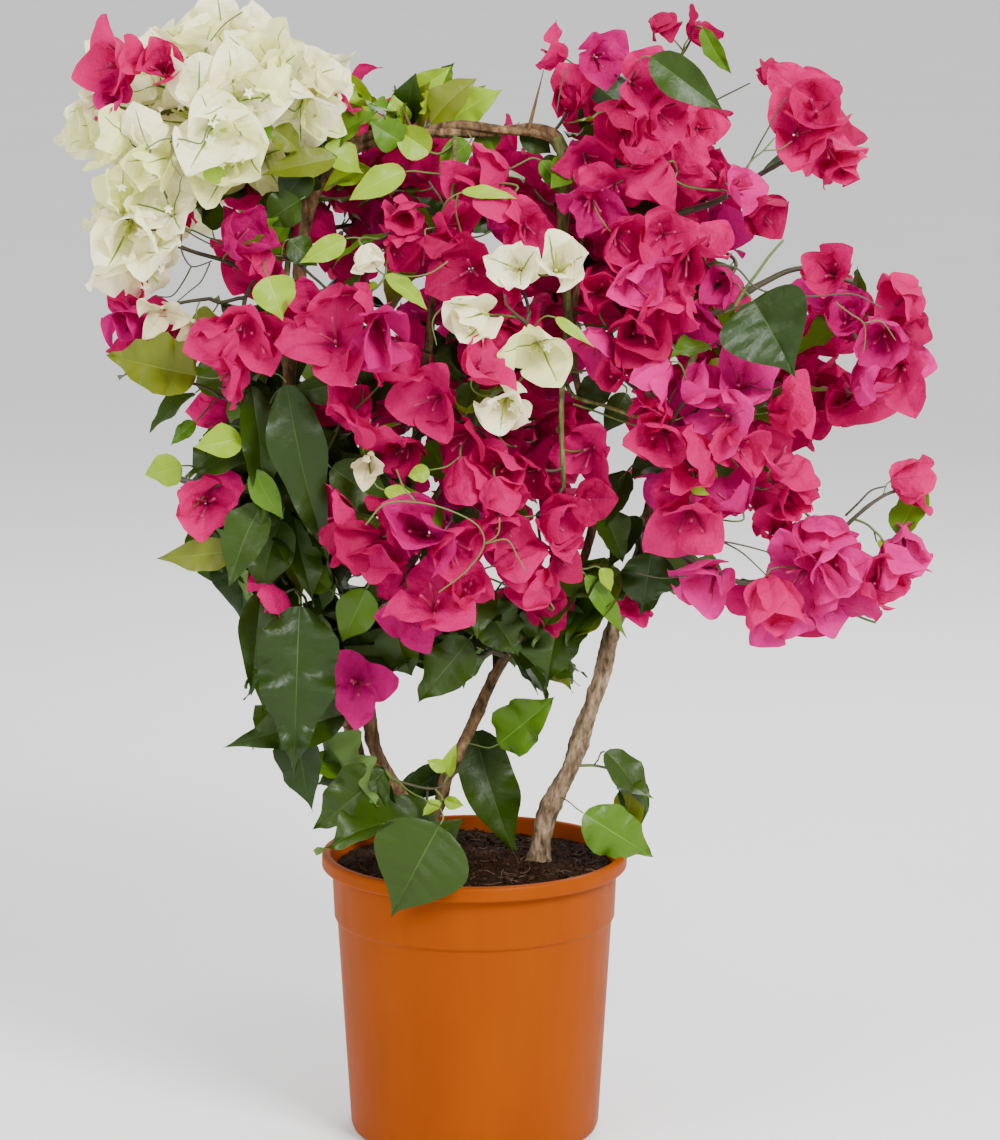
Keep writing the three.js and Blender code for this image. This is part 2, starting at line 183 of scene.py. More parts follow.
# where the sky shows through the crown from the front: middle x, z, half sizes and turn in degrees
OPENINGS = [
    (35, 219, 35, 13.3, -120), (-37, 234, 21, 19.1, -104), (107, 603, 14, 5.3, 20), (124, 593, 12, 4.8, -60), (163, 487, 11, 7.4, -130), (146, 343, 14, 4.8, -178), (152, 389, 12, 5.8, -139), (29, 546, 13, 4.2, -178), (128, 334, 12, 4.2, -20), (151, 330, 7, 3.2, -166), (-38, 268, 10, 6.4, -148), (152, 553, 13, 3.7, -119), (159, 549, 7, 4.2, -126), (-133, 375, 12, 4.8, -53), (-160, 484, 12, 4.2, -121), (-95, 493, 10, 4.8, -101), (-148, 497, 8, 5.3, -150), (40, 577, 8, 4.8, -98), (74, 199, 10, 3.7, -24), (-152, 384, 8, 3.7, 0), (-132, 348, 14, 3.2, -127), (145, 491, 6, 5.3, -62), (-31, 390, 13, 3.7, -121), (58, 210, 11, 2.7, -102), (128, 440, 7, 3.2, -125), (110, 326, 6, 3.7, -176), (4, 503, 6, 3.7, -170), (67, 291, 5, 3.7, -137), (-145, 476, 6, 3.7, -114), (-5, 246, 7, 3.7, -114), (-155, 393, 5, 3.2, -151), (64, 278, 5, 3.2, -96), (116, 561, 6, 3.2, -140), (-16, 476, 5, 3.2, -145), (52, 535, 6, 2.7, -106), (-77, 524, 4, 3.2, -70), (-27, 375, 5, 2.7, -162), (9, 311, 5, 2.7, -63), (-146, 467, 4, 2.7, -91), (43, 315, 8, 2.1, -148),
]
# foliage that closes the rest of the front: middle x, z and reach
BETWEEN = [(-28, 557, 17), (-2, 558, 14), (30, 562, 14), (-92, 517, 18), (-71, 522, 12), (-112, 517, 11), (-138, 480, 10), (-20, 452, 10), (81, 363, 14), (71, 401, 10), (121, 447, 8), (74, 341, 10), (-60, 519, 11)]
# single stalks that show in front of the blossom: radius, kind and the points that they pass through
STALKS = [
    (0.8, "twig_green", [(-56, -112, 362), (-46, -112, 373), (-30, -112, 374), (-13, -112, 370), (3, -112, 361), (6, -112, 352), (-3, -112, 338), (-18, -112, 326)]),
    (0.7, "twig_green", [(6, -112, 352), (18, -112, 354), (23, -112, 346), (28, -112, 337)]),
    (0.7, "twig_green", [(14, -113, 366), (13, -113, 357), (6, -113, 352)]),
    (0.8, "twig_green", [(-30, -104, 373), (-36, -104, 380), (-40, -104, 390)]),
    (0.9, "twig_dark", [(126, -78, 495), (138, -78, 493), (148, -78, 483), (160, -78, 479), (180, -78, 478), (200, -78, 479), (215, -78, 472)]),
    (1, "twig_dark", [(131, -80, 469), (143, -80, 474), (155, -80, 477), (166, -80, 478)]),
    (1.5, "twig_green", [(137, -74, 471), (143, -74, 481), (149, -74, 489), (156, -74, 499), (163, -74, 507)]),
    (0.6, "twig_green", [(191, -72, 474), (199, -72, 468), (206, -72, 463), (207, -72, 455), (206, -72, 447)]),
    (0.6, "twig_green", [(206, -72, 463), (215, -72, 464), (223, -72, 454)]),
    (0.9, "twig_dark", [(-173, -46, 509), (-164, -46, 510), (-155, -46, 510), (-146, -46, 505), (-138, -46, 501)]),
    (0.8, "twig_dark", [(-155, -46, 509), (-155, -46, 498), (-150, -46, 490), (-144, -46, 491), (-139, -46, 493)]),
    (0.8, "twig_dark", [(-150, -46, 490), (-155, -46, 481), (-161, -46, 474), (-169, -46, 474)]),
    (0.7, "twig_dark", [(-140, -48, 492), (-145, -48, 482), (-151, -48, 477), (-158, -48, 471)]),
    (0.9, "twig_green", [(-150, -62, 602), (-145, -62, 599), (-144, -62, 591), (-139, -62, 584), (-133, -62, 577)]),
    (0.7, "twig_green", [(-121, -52, 625), (-130, -52, 619), (-137, -52, 611), (-143, -52, 600)]),
    (0.8, "twig_green", [(-134, -74, 573), (-139, -74, 565), (-142, -74, 558), (-152, -74, 560), (-162, -74, 560), (-171, -74, 555)]),
    (0.7, "twig_green", [(-154, -74, 558), (-158, -74, 550), (-156, -74, 545), (-153, -74, 541)]),
    (0.8, "twig_green", [(-111, -66, 579), (-106, -66, 583), (-99, -66, 585)]),
    (0.7, "twig_dark", [(49, -60, 596), (46, -60, 585), (44, -60, 573)]),
    (0.9, "twig_green", [(-8, -66, 530), (-9, -66, 521), (-6, -66, 508), (-7, -66, 501)]),
    (0.7, "twig_green", [(-13, -92, 498), (-22, -92, 492), (-33, -92, 490), (-42, -92, 492)]),
    (0.7, "twig_green", [(-6, -92, 478), (-14, -92, 475), (-21, -92, 467), (-19, -92, 454)]),
    (0.9, "twig_dark", [(116, -60, 342), (130, -60, 344), (143, -60, 342), (158, -60, 338)]),
    (0.8, "twig_dark", [(132, -58, 344), (143, -58, 338), (152, -58, 330), (158, -58, 324)]),
    (0.7, "twig_dark", [(87, -60, 327), (100, -60, 324), (115, -60, 325)]),
    (1, "twig_dark", [(201, -32, 353), (208, -32, 360), (215, -32, 367), (222, -32, 369)]),
    (0.8, "twig_dark", [(143, -36, 536), (148, -36, 546), (152, -36, 554), (157, -36, 563), (161, -36, 571), (166, -36, 579)]),
    (0.9, "twig_green", [(142, -40, 537), (148, -40, 546), (154, -40, 551), (160, -40, 558)]),
    (0.7, "twig_green", [(154, -40, 551), (163, -40, 552), (169, -40, 556)]),
    (0.9, "twig_dark", [(115, -30, 568), (124, -30, 574), (131, -30, 578), (139, -30, 582), (147, -30, 586)]),
    (1, "twig_green", [(53, -66, 419), (65, -66, 415), (78, -66, 410), (91, -66, 406)]),
    (0.8, "twig_dark", [(-39, -64, 406), (-23, -64, 407), (-10, -64, 408)]),
]
EYE = np.array([14.2, -2400.0, 762.0])  # where the plant is looked at from the front


def front(points):
    """Where points show on the upright plane y = -40 from the front."""
    p = np.asarray(points, float)
    return EYE[[0, 2]] + (p[..., [0, 2]] - EYE[[0, 2]]) * ((-40 - EYE[1]) / (p[..., 1] - EYE[1]))[..., None]


def in_opening(points, grow=0.0):
    """True where a point shows inside an opening of the crown."""
    o = np.array(OPENINGS, float)
    d = front(np.atleast_2d(points))[:, None, :] - o[:, :2]
    turn = np.radians(o[:, 4])
    u, v = d[..., 0] * np.cos(turn) + d[..., 1] * np.sin(turn), d[..., 1] * np.cos(turn) - d[..., 0] * np.sin(turn)
    return ((u / (o[:, 2] + grow)) ** 2 + (v / (o[:, 3] + grow)) ** 2 < 1).any(1)


# ---- stems and boughs -----------------------------------------------------------------------------------------------
# radius at the foot, at the middle and at the tip, whether it stands in the soil, bark, points
STEMS = {
    "stem_right": (5.3, 3.5, 1.9, True, "grey", [(35, 4, 149), (39, 4, 174), (55, 3, 210), (67, 0, 247), (75, -3, 280), (83, -4, 301), (92, -4, 330), (98, -2, 365), (97, 0, 405), (90, 0, 450), (86, -2, 495), (88, -4, 540), (92, -6, 575)]),
    "trunk_left": (6.4, 6.0, 4.0, True, "tan", [(-24, 20, 149), (-24.5, 20, 161), (-26, 19.5, 172), (-27, 19.4, 178)]),
    "stem_left_inner": (4.1, 2.9, 1.5, False, "tan", [(-25, 20, 166), (-28, 20, 172), (-33, 19, 177), (-42, 17, 187), (-55, 12, 213), (-60, 8, 240), (-65, 5, 268), (-57, 4, 283), (-47, 3, 298), (-38, 2, 330), (-34, 0, 372), (-28, 2, 420), (-22, 6, 470), (-24, 8, 520)]),
    "stem_middle": (3.5, 2.5, 1.4, False, "tan", [(-25, 20, 167), (-23, 20, 173), (-19, 18, 181), (-15, 14, 199), (-1, 8, 229), (12, 4, 258), (31, 0, 288), (53, -2, 309), (66, 2, 345), (62, 8, 392), (54, 10, 440), (58, 14, 490), (66, 14, 530)]),
    "stem_left_outer": (3.9, 3.3, 3.6, True, "tan", [(-46, 24, 149), (-53, 23, 172), (-62, 20, 196), (-71, 17, 238), (-75, 16, 270), (-82, 10, 306), (-88, 4, 330), (-97, 2, 372), (-101, 0, 418), (-97, 0, 455), (-93, 0, 494), (-88, -6, 522), (-74, -12, 545), (-60, -16, 553)]),
    "bough_top": (4.6, 4.5, 3.6, False, "top", [(-74, -13, 546), (-52, -17, 556), (-20, -18, 559.5), (9, -17, 560), (32, -15, 560), (43, -13.5, 556), (48, -13, 548)]),
    "bough_drop": (3.9, 3.0, 1.5, False, "green", [(44, -13.5, 556), (48, -13, 548), (49, -13, 540), (48.5, -14, 522), (48, -17, 500), (50, -14, 470), (54, -10, 430)]),
    "bough_crown": (2.8, 2.0, 1.1, False, "green", [(-84, -8, 530), (-96, -14, 548), (-118, -20, 562), (-146, -24, 572), (-176, -24, 568)]),
    "bough_far_upper": (2.1, 1.7, 1.1, False, "young", [(87, -3, 498), (98, -14, 508), (112, -20, 516), (130, -20, 522), (150, -18, 534), (176, -16, 549)]),
    "bough_outer": (2.2, 1.8, 1.2, False, "young", [(91, 0, 444), (108, -14, 452), (130, -22, 462), (154, -24, 478), (176, -22, 486), (205, -16, 478)]),
    "bough_low": (2.2, 1.9, 1.2, False, "young", [(91, -4, 326), (90, -24, 344), (96, -40, 345), (106, -42, 338), (124, -40, 326), (146, -32, 316), (172, -34, 320)]),
    "bough_low_tip": (1.5, 1.2, 0.8, False, "young", [(168, -34, 319), (184, -31, 328), (192, -30, 336), (206, -32, 352), (222, -31, 364), (236, -28, 368)]),
    "bough_spill": (1.7, 1.3, 0.9, False, "young", [(-97, 0, 462), (-112, -20, 478), (-130, -30, 490), (-150, -30, 496), (-172, -24, 504)]),
    "bough_left_tip": (1.8, 1.4, 0.9, False, "young", [(-98, 2, 374), (-112, -14, 388), (-130, -20, 386), (-150, -20, 372)]),
    "bough_back_left": (2.4, 1.8, 1.0, False, "green", [(-100, 0, 424), (-106, 24, 440), (-104, 46, 474), (-98, 58, 520), (-84, 60, 556)]),
    "bough_back_right": (2.4, 1.8, 1.0, False, "green", [(97, 0, 398), (112, 26, 412), (124, 48, 442), (112, 62, 494), (92, 66, 540)]),
    "bough_back_low": (2.0, 1.6, 1.0, False, "green", [(-38, 2, 330), (-28, 26, 344), (-10, 46, 372), (2, 56, 420)]),
    "shoot_front": (1.7, 1.5, 1.2, False, "green", [(52, -12, 456), (48, -44, 440), (47, -66, 424), (47, -70, 398), (48, -70, 374)]),
    "shoot_side": (1.3, 1.2, 1.0, False, "green", [(50, -14, 466), (52, -60, 424), (70, -66, 418), (94, -68, 410)]),
    "shoot_heart": (1.4, 1.3, 1.1, False, "green", [(-10, -18, 559), (-10, -40, 545), (-11, -46, 520), (-10, -46, 490)]),
}
THORNS = [((29, -17, 558), (38, -19, 594)), ((-34, -18, 562), (-38, -24, 573)), ((46, 3, 192), (54, -2, 197)), ((-66, 16, 222), (-74, 12, 227)), ((88, -4, 320), (96, -10, 326))]


# ---- meshes built from arrays ---------------------------------------------------------------------------------------
class Piece:
    """Vertices and faces of one kind and colour, gathered and then written as joined meshes."""

    MOST = 180_000  # triangles in one mesh

    def __init__(self, name, material, slot):
        self.name, self.material, self.slot = name, material, slot
        self.parts, self.objects = [], []

    def add(self, verts, quads=None, tris=None):
        self.parts.append((verts, quads if quads is not None else np.zeros((0, 4), int), tris if tris is not None else np.zeros((0, 3), int)))

    def build(self):
        batch, count = [], 0
        for part in self.parts + [None]:
            size = 0 if part is None else 2 * len(part[1]) + len(part[2])
            if batch and (part is None or count + size > self.MOST):
                self.objects.append(self.write(batch))
                batch, count = [], 0
            if part is not None:
                batch.append(part)
                count += size
        return self.objects

    def write(self, batch):
        starts = np.cumsum([0] + [len(v) for v, q, t in batch])[:-1]
        verts = np.concatenate([v for v, q, t in batch])
        quads = np.concatenate([q + s for (v, q, t), s in zip(batch, starts)])
        tris = np.concatenate([t + s for (v, q, t), s in zip(batch, starts)])
        name = self.name if not self.objects else f"{self.name}_{len(self.objects) + 1}"
        used, index = np.unique(np.concatenate([quads.ravel(), tris.ravel()]), return_inverse=True)
        mesh = bpy.data.meshes.new(name)
        mesh.vertices.add(len(used))
        mesh.vertices.foreach_set("co", (verts[used] * MM).astype(np.float32).ravel())
        mesh.loops.add(len(index))
        mesh.loops.foreach_set("vertex_index", index.astype(np.int32))
        mesh.polygons.add(len(quads) + len(tris))
        starts = np.concatenate([np.arange(len(quads)) * 4, len(quads) * 4 + np.arange(len(tris)) * 3])
        mesh.polygons.foreach_set("loop_start", starts.astype(np.int32))
        mesh.polygons.foreach_set("use_smooth", np.ones(len(starts), bool))
        mesh.materials.append(self.material)
        mesh.update(calc_edges=True)
        mesh.validate()
        piece = bpy.data.objects.new(name, mesh)
        bpy.context.scene.collection.objects.link(piece)
        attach(piece, "root")
        return piece


def unit(v):
    v = np.asarray(v, float)
    return v / np.maximum(np.linalg.norm(v, axis=-1, keepdims=True), 1e-9)


def square_to(z, y):
    """z turned square to y."""
    return unit(z - np.sum(z * y, axis=-1, keepdims=True) * y)


# ---- blades: leaves and bracts --------------------------------------------------------------------------------------
class Grid:
    """The lines of one blade: side veins slant to the tip, with a narrow row on each vein and a narrow column on the midrib."""

    def __init__(self, veins, sub, across, first=0.1, last=0.84, width=0.007, rib=0.03, slant=0.2, rib_to=0.93):
        lines = [(0.012, 0, 0.0)]
        centres = np.linspace(first, last, veins)
        before = 0.012
        for c in centres:
            for k in range(sub):
                lines.append((before + (c - before) * (k + 1) / (sub + 1), 0, math.sin(math.pi * (k + 1) / (sub + 1))))
            lines += [(c, -1, 0.0), (c, 1, 0.0)]
            before = c
        lines += [(before + 0.05, 0, 0.6), (0.5 * before + 0.475, 0, 0.4), (0.95, 0, 0.2), (0.994, 0, 0.0)]
        half = [rib] + list(across) + [1.0]
        t = np.array([-x for x in half[::-1]] + half)
        s, e, q = (np.array(x, float)[:, None] for x in zip(*lines))
        a = np.abs(t)[None, :]
        self.t, self.a = t[None, :], a
        self.s = s + e * width * (1 - 0.7 * a)
        self.along = self.s + slant * a * np.clip(self.s, 0, 1) ** 0.7 * np.clip(1 - self.s, 0, 1) ** 0.9
        self.quilt = q * np.sqrt(a) * (1 - a**2)
        rows, cols = len(lines), len(t)
        r, c = np.meshgrid(np.arange(rows - 1), np.arange(cols - 1), indexing="ij")
        first = r * cols + c
        self.quads = np.stack([first, first + 1, first + cols + 1, first + cols], -1).reshape(-1, 4)
        vein_row = np.array([lines[i][1] == -1 for i in range(rows - 1)])[:, None]
        mid = np.arange(cols - 1)[None, :] == len(half) - 1
        inner = (np.arange(cols - 1)[None, :] > 0) & (np.arange(cols - 1)[None, :] < cols - 2)
        self.rib = (mid & (s[:-1] < rib_to)).ravel()
        self.side = (vein_row & inner).ravel() & ~self.rib
        self.size = rows * cols


def blades(grid, base, y, z, length, half, rise=0.7, fall=1.15, bend=(0, 0, 0), fold=0.0, cup=0.0, ruffle=0.0, waves=2.2, quilt=0.03, twist=0.0, sway=0.0, deep=0.0, crumple=0.0, edge=0.0, drip=0.0, seed=0):
    """Vertices of many blades, one row of grid.size points each. y runs from base to tip, and z is the upper side's normal."""
    own = np.random.default_rng(seed)
    n = len(base)

    def each(value):
        return np.broadcast_to(np.asarray(value, float), (n,))[:, None, None]

    y = unit(y)
    z = square_to(z, y)
    x = np.cross(y, z)
    s, along, t, a = (np.clip(grid.s, 0, 1), grid.along, grid.t, grid.a)
    rise, fall = each(rise), each(fall)
    peak = rise / (rise + fall)
    top = peak**rise * (1 - peak) ** fall
    edge_at = np.clip(along[:, -1:], 0, 1)
    outline = edge_at**rise * (1 - edge_at) ** fall / top
    steps = np.linspace(0, 1.15, 48)
    b0, b1, b2 = (np.broadcast_to(np.asarray(b, float), (n,)) for b in bend)
    angle = b0[:, None] + b1[:, None] * steps + b2[:, None] * steps**2
    du = steps[1]
    cy = np.concatenate([np.zeros((n, 1)), np.cumsum((np.cos(angle[:, 1:]) + np.cos(angle[:, :-1])) / 2 * du, 1)], 1)
    cz = np.concatenate([np.zeros((n, 1)), np.cumsum((np.sin(angle[:, 1:]) + np.sin(angle[:, :-1])) / 2 * du, 1)], 1)
    place = np.clip(along / du, 0, len(steps) - 1.001)
    i = place.astype(int)
    w = place - i
    my = cy[:, i] * (1 - w) + cy[:, i + 1] * w
    mz = cz[:, i] * (1 - w) + cz[:, i + 1] * w
    th = each(b0) + each(b1) * along + each(b2) * along**2
    length, half = each(length), each(half)
    outline = outline * (1 - each(drip) * np.clip((edge_at - 0.6) / 0.4, 0, 1) ** 1.5)
    px = t * outline * half
    phase = own.uniform(0, 2 * math.pi, (n, 2, 1, 1))
    phase = np.where(t < 0, phase[:, 0], phase[:, 1])
    freq = each(waves) * own.uniform(0.85, 1.2, (n, 1, 1))
    wave = np.sin(2 * math.pi * freq * along + phase) + 0.45 * np.sin(2 * math.pi * 1.9 * freq * along + 2.3 * phase)
    px = px * (1 + each(edge) * np.sin(2 * math.pi * freq * along + phase) * a)
    creases = 0
    for share in (1.0, 0.6, 0.4):
        heading, stretch = own.uniform(0, math.pi, (n, 1, 1)), own.uniform(0.28, 0.62, (n, 1, 1)) * length
        across = px * np.cos(heading) + length * along * np.sin(heading)
        creases = creases + share * (np.abs(np.sin(math.pi * across / stretch + own.uniform(0, 6.3, (n, 1, 1)))) - 0.64)
    creases = creases * np.clip(s * 5, 0, 1)
    pz = (
        each(crumple) * half * creases
        + each(fold) * np.abs(px)
        + each(cup) * px**2 / half
        + each(ruffle) * half * wave * a**2 * (0.35 + 0.65 * outline)
        + each(quilt) * half * grid.quilt
        - each(deep)
    )
    turn = each(twist) * along
    qx, qz = px * np.cos(turn) - pz * np.sin(turn), px * np.sin(turn) + pz * np.cos(turn)
    qx = qx + length * each(sway) * along**2
    ly, lz = length * my - qz * np.sin(th), length * mz + qz * np.cos(th)
    out = (
        np.asarray(base, float)[:, None, None, :]
        + qx[..., None] * x[:, None, None, :]
        + ly[..., None] * y[:, None, None, :]
        + lz[..., None] * z[:, None, None, :]
    )
    return out.reshape(n, -1, 3)


def spread(grid, verts, chosen, flip=False):
    """Faces of every blade in verts: those of the mask chosen."""
    quads = grid.quads[chosen]
    if flip:
        quads = quads[:, [0, 3, 2, 1]]
    n = len(verts)
    faces = (quads[None] + (np.arange(n) * grid.size)[:, None, None]).reshape(-1, 4)
    return verts.reshape(-1, 3), faces


# ---- tubes: stems, twigs and flower tubes ---------------------------------------------------------------------------
def smooth_path(points, step):
    """A centripetal Catmull-Rom curve through the points, sampled at about one step."""
    p = np.asarray(points, float)
    p = np.vstack([2 * p[0] - p[1], p, 2 * p[-1] - p[-2]])
    out = []
    for i in range(1, len(p) - 2):
        p0, p1, p2, p3 = p[i - 1 : i + 3]
        t0 = 0.0
        t1 = t0 + max(np.linalg.norm(p1 - p0), 1e-6) ** 0.5
        t2 = t1 + max(np.linalg.norm(p2 - p1), 1e-6) ** 0.5
        t3 = t2 + max(np.linalg.norm(p3 - p2), 1e-6) ** 0.5
        count = max(2, int(math.ceil(np.linalg.norm(p2 - p1) / step)))
        t = np.linspace(t1, t2, count, endpoint=False)[:, None]
        a1 = (t1 - t) / (t1 - t0) * p0 + (t - t0) / (t1 - t0) * p1
        a2 = (t2 - t) / (t2 - t1) * p1 + (t - t1) / (t2 - t1) * p2
        a3 = (t3 - t) / (t3 - t2) * p2 + (t - t2) / (t3 - t2) * p3
        b1 = (t2 - t) / (t2 - t0) * a1 + (t - t0) / (t2 - t0) * a2
        b2 = (t3 - t) / (t3 - t1) * a2 + (t - t1) / (t3 - t1) * a3
        out.append((t2 - t) / (t2 - t1) * b1 + (t - t1) / (t2 - t1) * b2)
    return np.vstack(out + [p[-2:-1]])


def path_frames(path):
    tangent = unit(np.gradient(path, axis=0))
    side = np.cross(tangent[0], (0, 0, 1.0) if abs(tangent[0][2]) < 0.9 else (1.0, 0, 0))
    sides = [unit(side)]
    for k in range(1, len(path)):
        sides.append(square_to(sides[-1], tangent[k]))
    a = np.array(sides)
    return tangent, a, np.cross(tangent, a)


def tube(path, radius, sides, relief=None, tip=True):
    """A closed tube. relief(i, angle, distance along) gives a share of the radius to add."""
    path = np.asarray(path, float)
    tangent, a, b = path_frames(path)
    radius = np.broadcast_to(np.asarray(radius, float), (len(path),))
    angle = np.arange(sides) / sides * 2 * math.pi
    r = np.repeat(radius[:, None], sides, 1)
    if relief is not None:
        along = np.concatenate([[0], np.cumsum(np.linalg.norm(np.diff(path, axis=0), axis=1))])
        r = r * (1 + relief(angle[None, :], along[:, None]))
    ring = path[:, None] + r[..., None] * (np.cos(angle)[None, :, None] * a[:, None] + np.sin(angle)[None, :, None] * b[:, None])
    verts = ring.reshape(-1, 3)
    k = len(path)
    i, j = np.meshgrid(np.arange(k - 1), np.arange(sides), indexing="ij")
    n = (j + 1) % sides
    quads = np.stack([i * sides + j, i * sides + n, (i + 1) * sides + n, (i + 1) * sides + j], -1).reshape(-1, 4)
    ends = [path[0] - tangent[0] * radius[0] * 0.3, path[-1] + tangent[-1] * radius[-1] * (0.8 if tip else 0.1)]
    verts = np.vstack([verts, ends])
    j = np.arange(sides)
    foot = np.stack([np.full(sides, k * sides), (j + 1) % sides, j], -1)
    head = np.stack([np.full(sides, k * sides + 1), (k - 1) * sides + j, (k - 1) * sides + (j + 1) % sides], -1)
    return verts, quads, np.vstack([foot, head])


# ---- materials ------------------------------------------------------------------------------------------------------
def rgb(hexcode):
    c = [int(hexcode[i : i + 2], 16) / 255 for i in (0, 2, 4)]
    return tuple(x / 12.92 if x <= 0.04045 else ((x + 0.055) / 1.055) ** 2.4 for x in c) + (1.0,)


def new_material(name):
    m = bpy.data.materials.new(name)
    m.use_nodes = True
    tree = m.node_tree
    return m, tree, tree.nodes["Principled BSDF"], tree.nodes["Material Output"]


def noise(tree, scale, detail=4.0, rough=0.55, stretch=None):
    coords = tree.nodes.new("ShaderNodeTexCoord")
    node = tree.nodes.new("ShaderNodeTexNoise")
    node.inputs["Scale"].default_value = scale
    node.inputs["Detail"].default_value = detail
    node.inputs["Roughness"].default_value = rough
    if stretch:
        mapping = tree.nodes.new("ShaderNodeMapping")
        mapping.inputs["Scale"].default_value = stretch
        tree.links.new(coords.outputs["Object"], mapping.inputs["Vector"])
        tree.links.new(mapping.outputs["Vector"], node.inputs["Vector"])
    else:
        tree.links.new(coords.outputs["Object"], node.inputs["Vector"])
    return node.outputs["Fac"]


def ramp(tree, value, stops):
    node = tree.nodes.new("ShaderNodeValToRGB")
    ends = node.color_ramp.elements
    for i, (at, colour) in enumerate(stops):
        e = ends[i] if i < 2 else ends.new(at)
        e.position, e.color = at, colour
    tree.links.new(value, node.inputs["Fac"])
    return node.outputs["Color"]


def spread_value(tree, value, low, high):
    node = tree.nodes.new("ShaderNodeMapRange")
    node.inputs["From Min"].default_value, node.inputs["From Max"].default_value = 0.3, 0.7
    node.inputs["To Min"].default_value, node.inputs["To Max"].default_value = low, high
    tree.links.new(value, node.inputs["Value"])
    return node.outputs["Result"]


def bump(tree, shader, height, strength, distance):
    node = tree.nodes.new("ShaderNodeBump")
    node.inputs["Strength"].default_value = strength
    node.inputs["Distance"].default_value = distance
    tree.links.new(height, node.inputs["Height"])
    tree.links.new(node.outputs["Normal"], shader.inputs["Normal"])


def thin(name, colour, through, share, rough=(0.45, 0.6), specular=0.35, grain=520, depth=0.25, sheen=0.0, crinkle=0.0):
    """A leaf or petal: its own colour, with light that comes through the blade from behind."""
    m, tree, p, out = new_material(name)
    p.inputs["Base Color"].default_value = colour
    p.inputs["Specular IOR Level"].default_value = specular
    if sheen:
        p.inputs["Sheen Weight"].default_value = sheen
        p.inputs["Sheen Roughness"].default_value = 0.5
    tree.links.new(spread_value(tree, noise(tree, grain * 0.4), *rough), p.inputs["Roughness"])
    bump(tree, p, noise(tree, grain, 5.0), depth, 0.0004)
    if crinkle:  # soft puckers a few millimetres across, under the fine grain
        soft = tree.nodes.new("ShaderNodeBump")
        soft.inputs["Strength"].default_value = crinkle
        soft.inputs["Distance"].default_value = 0.0035
        tree.links.new(noise(tree, 140, 4.0, 0.55), soft.inputs["Height"])
        tree.links.new(soft.outputs["Normal"], p.inputs["Normal"].links[0].from_node.inputs["Normal"])
    if share:
        back = tree.nodes.new("ShaderNodeBsdfTranslucent")
        back.inputs["Color"].default_value = through
        mix = tree.nodes.new("ShaderNodeMixShader")
        mix.inputs[0].default_value = share
        tree.links.new(p.outputs[0], mix.inputs[1])
        tree.links.new(back.outputs[0], mix.inputs[2])
        tree.links.new(mix.outputs[0], out.inputs["Surface"])
    return m


def bark(name, stops, grain, depth):
    m, tree, p, out = new_material(name)
    tree.links.new(ramp(tree, noise(tree, grain, 8.0, 0.65, (1, 1, 0.35)), stops), p.inputs["Base Color"])
    tree.links.new(spread_value(tree, noise(tree, grain * 2), 0.62, 0.9), p.inputs["Roughness"])
    p.inputs["Specular IOR Level"].default_value = 0.15
    bump(tree, p, noise(tree, grain * 3, 8.0, 0.7, (1, 1, 0.4)), depth, 0.0008)
    return m


# the five rose tones are dealt at random per trio; the deep crimson c is also painted shade on blooms further back, and
# the bright pink d is also painted light on the lower right masses (see tone_for)
ROSE_TONES = {"a": ("b40059", "e70077"), "b": ("bd005d", "ed157c"), "c": ("970043", "d0005f"), "d": ("ca0f7b", "f532a2"), "e": ("a90060", "e11188")}
LEAF_TONES = {"dark": ("293e08", "5a7b0c"), "deep": ("1f3308", "49680b"), "fresh": ("486a10", "86ae1a"), "young": ("809e1b", "bacb2a"), "olive": ("5f6816", "979c1e")}
VEIN_TONES = {"dark": ("385515", "698f1f"), "deep": ("2f4a15", "5e841c"), "fresh": ("5f8625", "8fb730"), "young": ("91af3d", "b6cc4c"), "olive": ("6e7d2c", "96a535")}
pieces = {}
for tone, (colour, through) in ROSE_TONES.items():
    pieces["rose_" + tone] = Piece("bracts_rose_" + tone, thin("rose_bract_" + tone, rgb(colour), rgb(through), 0.3, (0.55, 0.75), 0.1, 620, 0.3, 0.0, 0.7), "rose")
pieces["rose_vein"] = Piece("bract_veins_rose", thin("rose_vein", rgb("92204c"), rgb("c03c70"), 0.22, (0.55, 0.75), 0.14), "rose")
for tone, colour in (("a", "fdfad4"), ("b", "eef3a8")):
    pieces["white_" + tone] = Piece("bracts_cream_" + tone, thin("cream_bract_" + tone, rgb(colour), rgb("fffcd0"), 0.32, (0.55, 0.75), 0.2, 620, 0.3, 0.0, 0.55), "white")
pieces["white_vein"] = Piece("bract_ribs_green", thin("green_rib", rgb("6f9036"), rgb("9cb852"), 0.2, (0.55, 0.75), 0.2), "white")
pieces["white_side"] = Piece("bract_veins_green", thin("green_vein", rgb("cfd888"), rgb("dfe69a"), 0.25, (0.55, 0.75), 0.2), "white")
pieces["withered"] = Piece("bracts_withered", thin("withered_bract", rgb("d8cda0"), rgb("e6dbae"), 0.2, (0.65, 0.85), 0.15, 420, 0.5), "white")
pieces["withered_side"] = Piece("bract_side_veins_withered", thin("withered_side", rgb("c6ba88"), rgb("d6ca98"), 0.2, (0.65, 0.85), 0.15), "white")
pieces["withered_vein"] = Piece("bract_veins_withered", thin("withered_vein", rgb("b3a36c"), rgb("c9ba80"), 0.2, (0.65, 0.85), 0.15), "white")
for tone, (colour, through) in LEAF_TONES.items():
    pieces["leaf_" + tone] = Piece("leaves_" + tone, thin("leaf_" + tone, rgb(colour), rgb(through), 0.12, (0.32, 0.5), 0.22, 380, 0.22, 0.0, 0.2), "leaf")
    pieces["leaf_vein_" + tone] = Piece("leaf_veins_" + tone, thin("leaf_vein_" + tone, rgb(VEIN_TONES[tone][0]), rgb(VEIN_TONES[tone][1]), 0.1, (0.4, 0.55), 0.3), "leaf")
pieces["leaf_under"] = Piece("leaf_undersides", thin("leaf_underside", rgb("546f33"), rgb("749433"), 0.1, (0.55, 0.75), 0.25, 380, 0.3), "leaf")
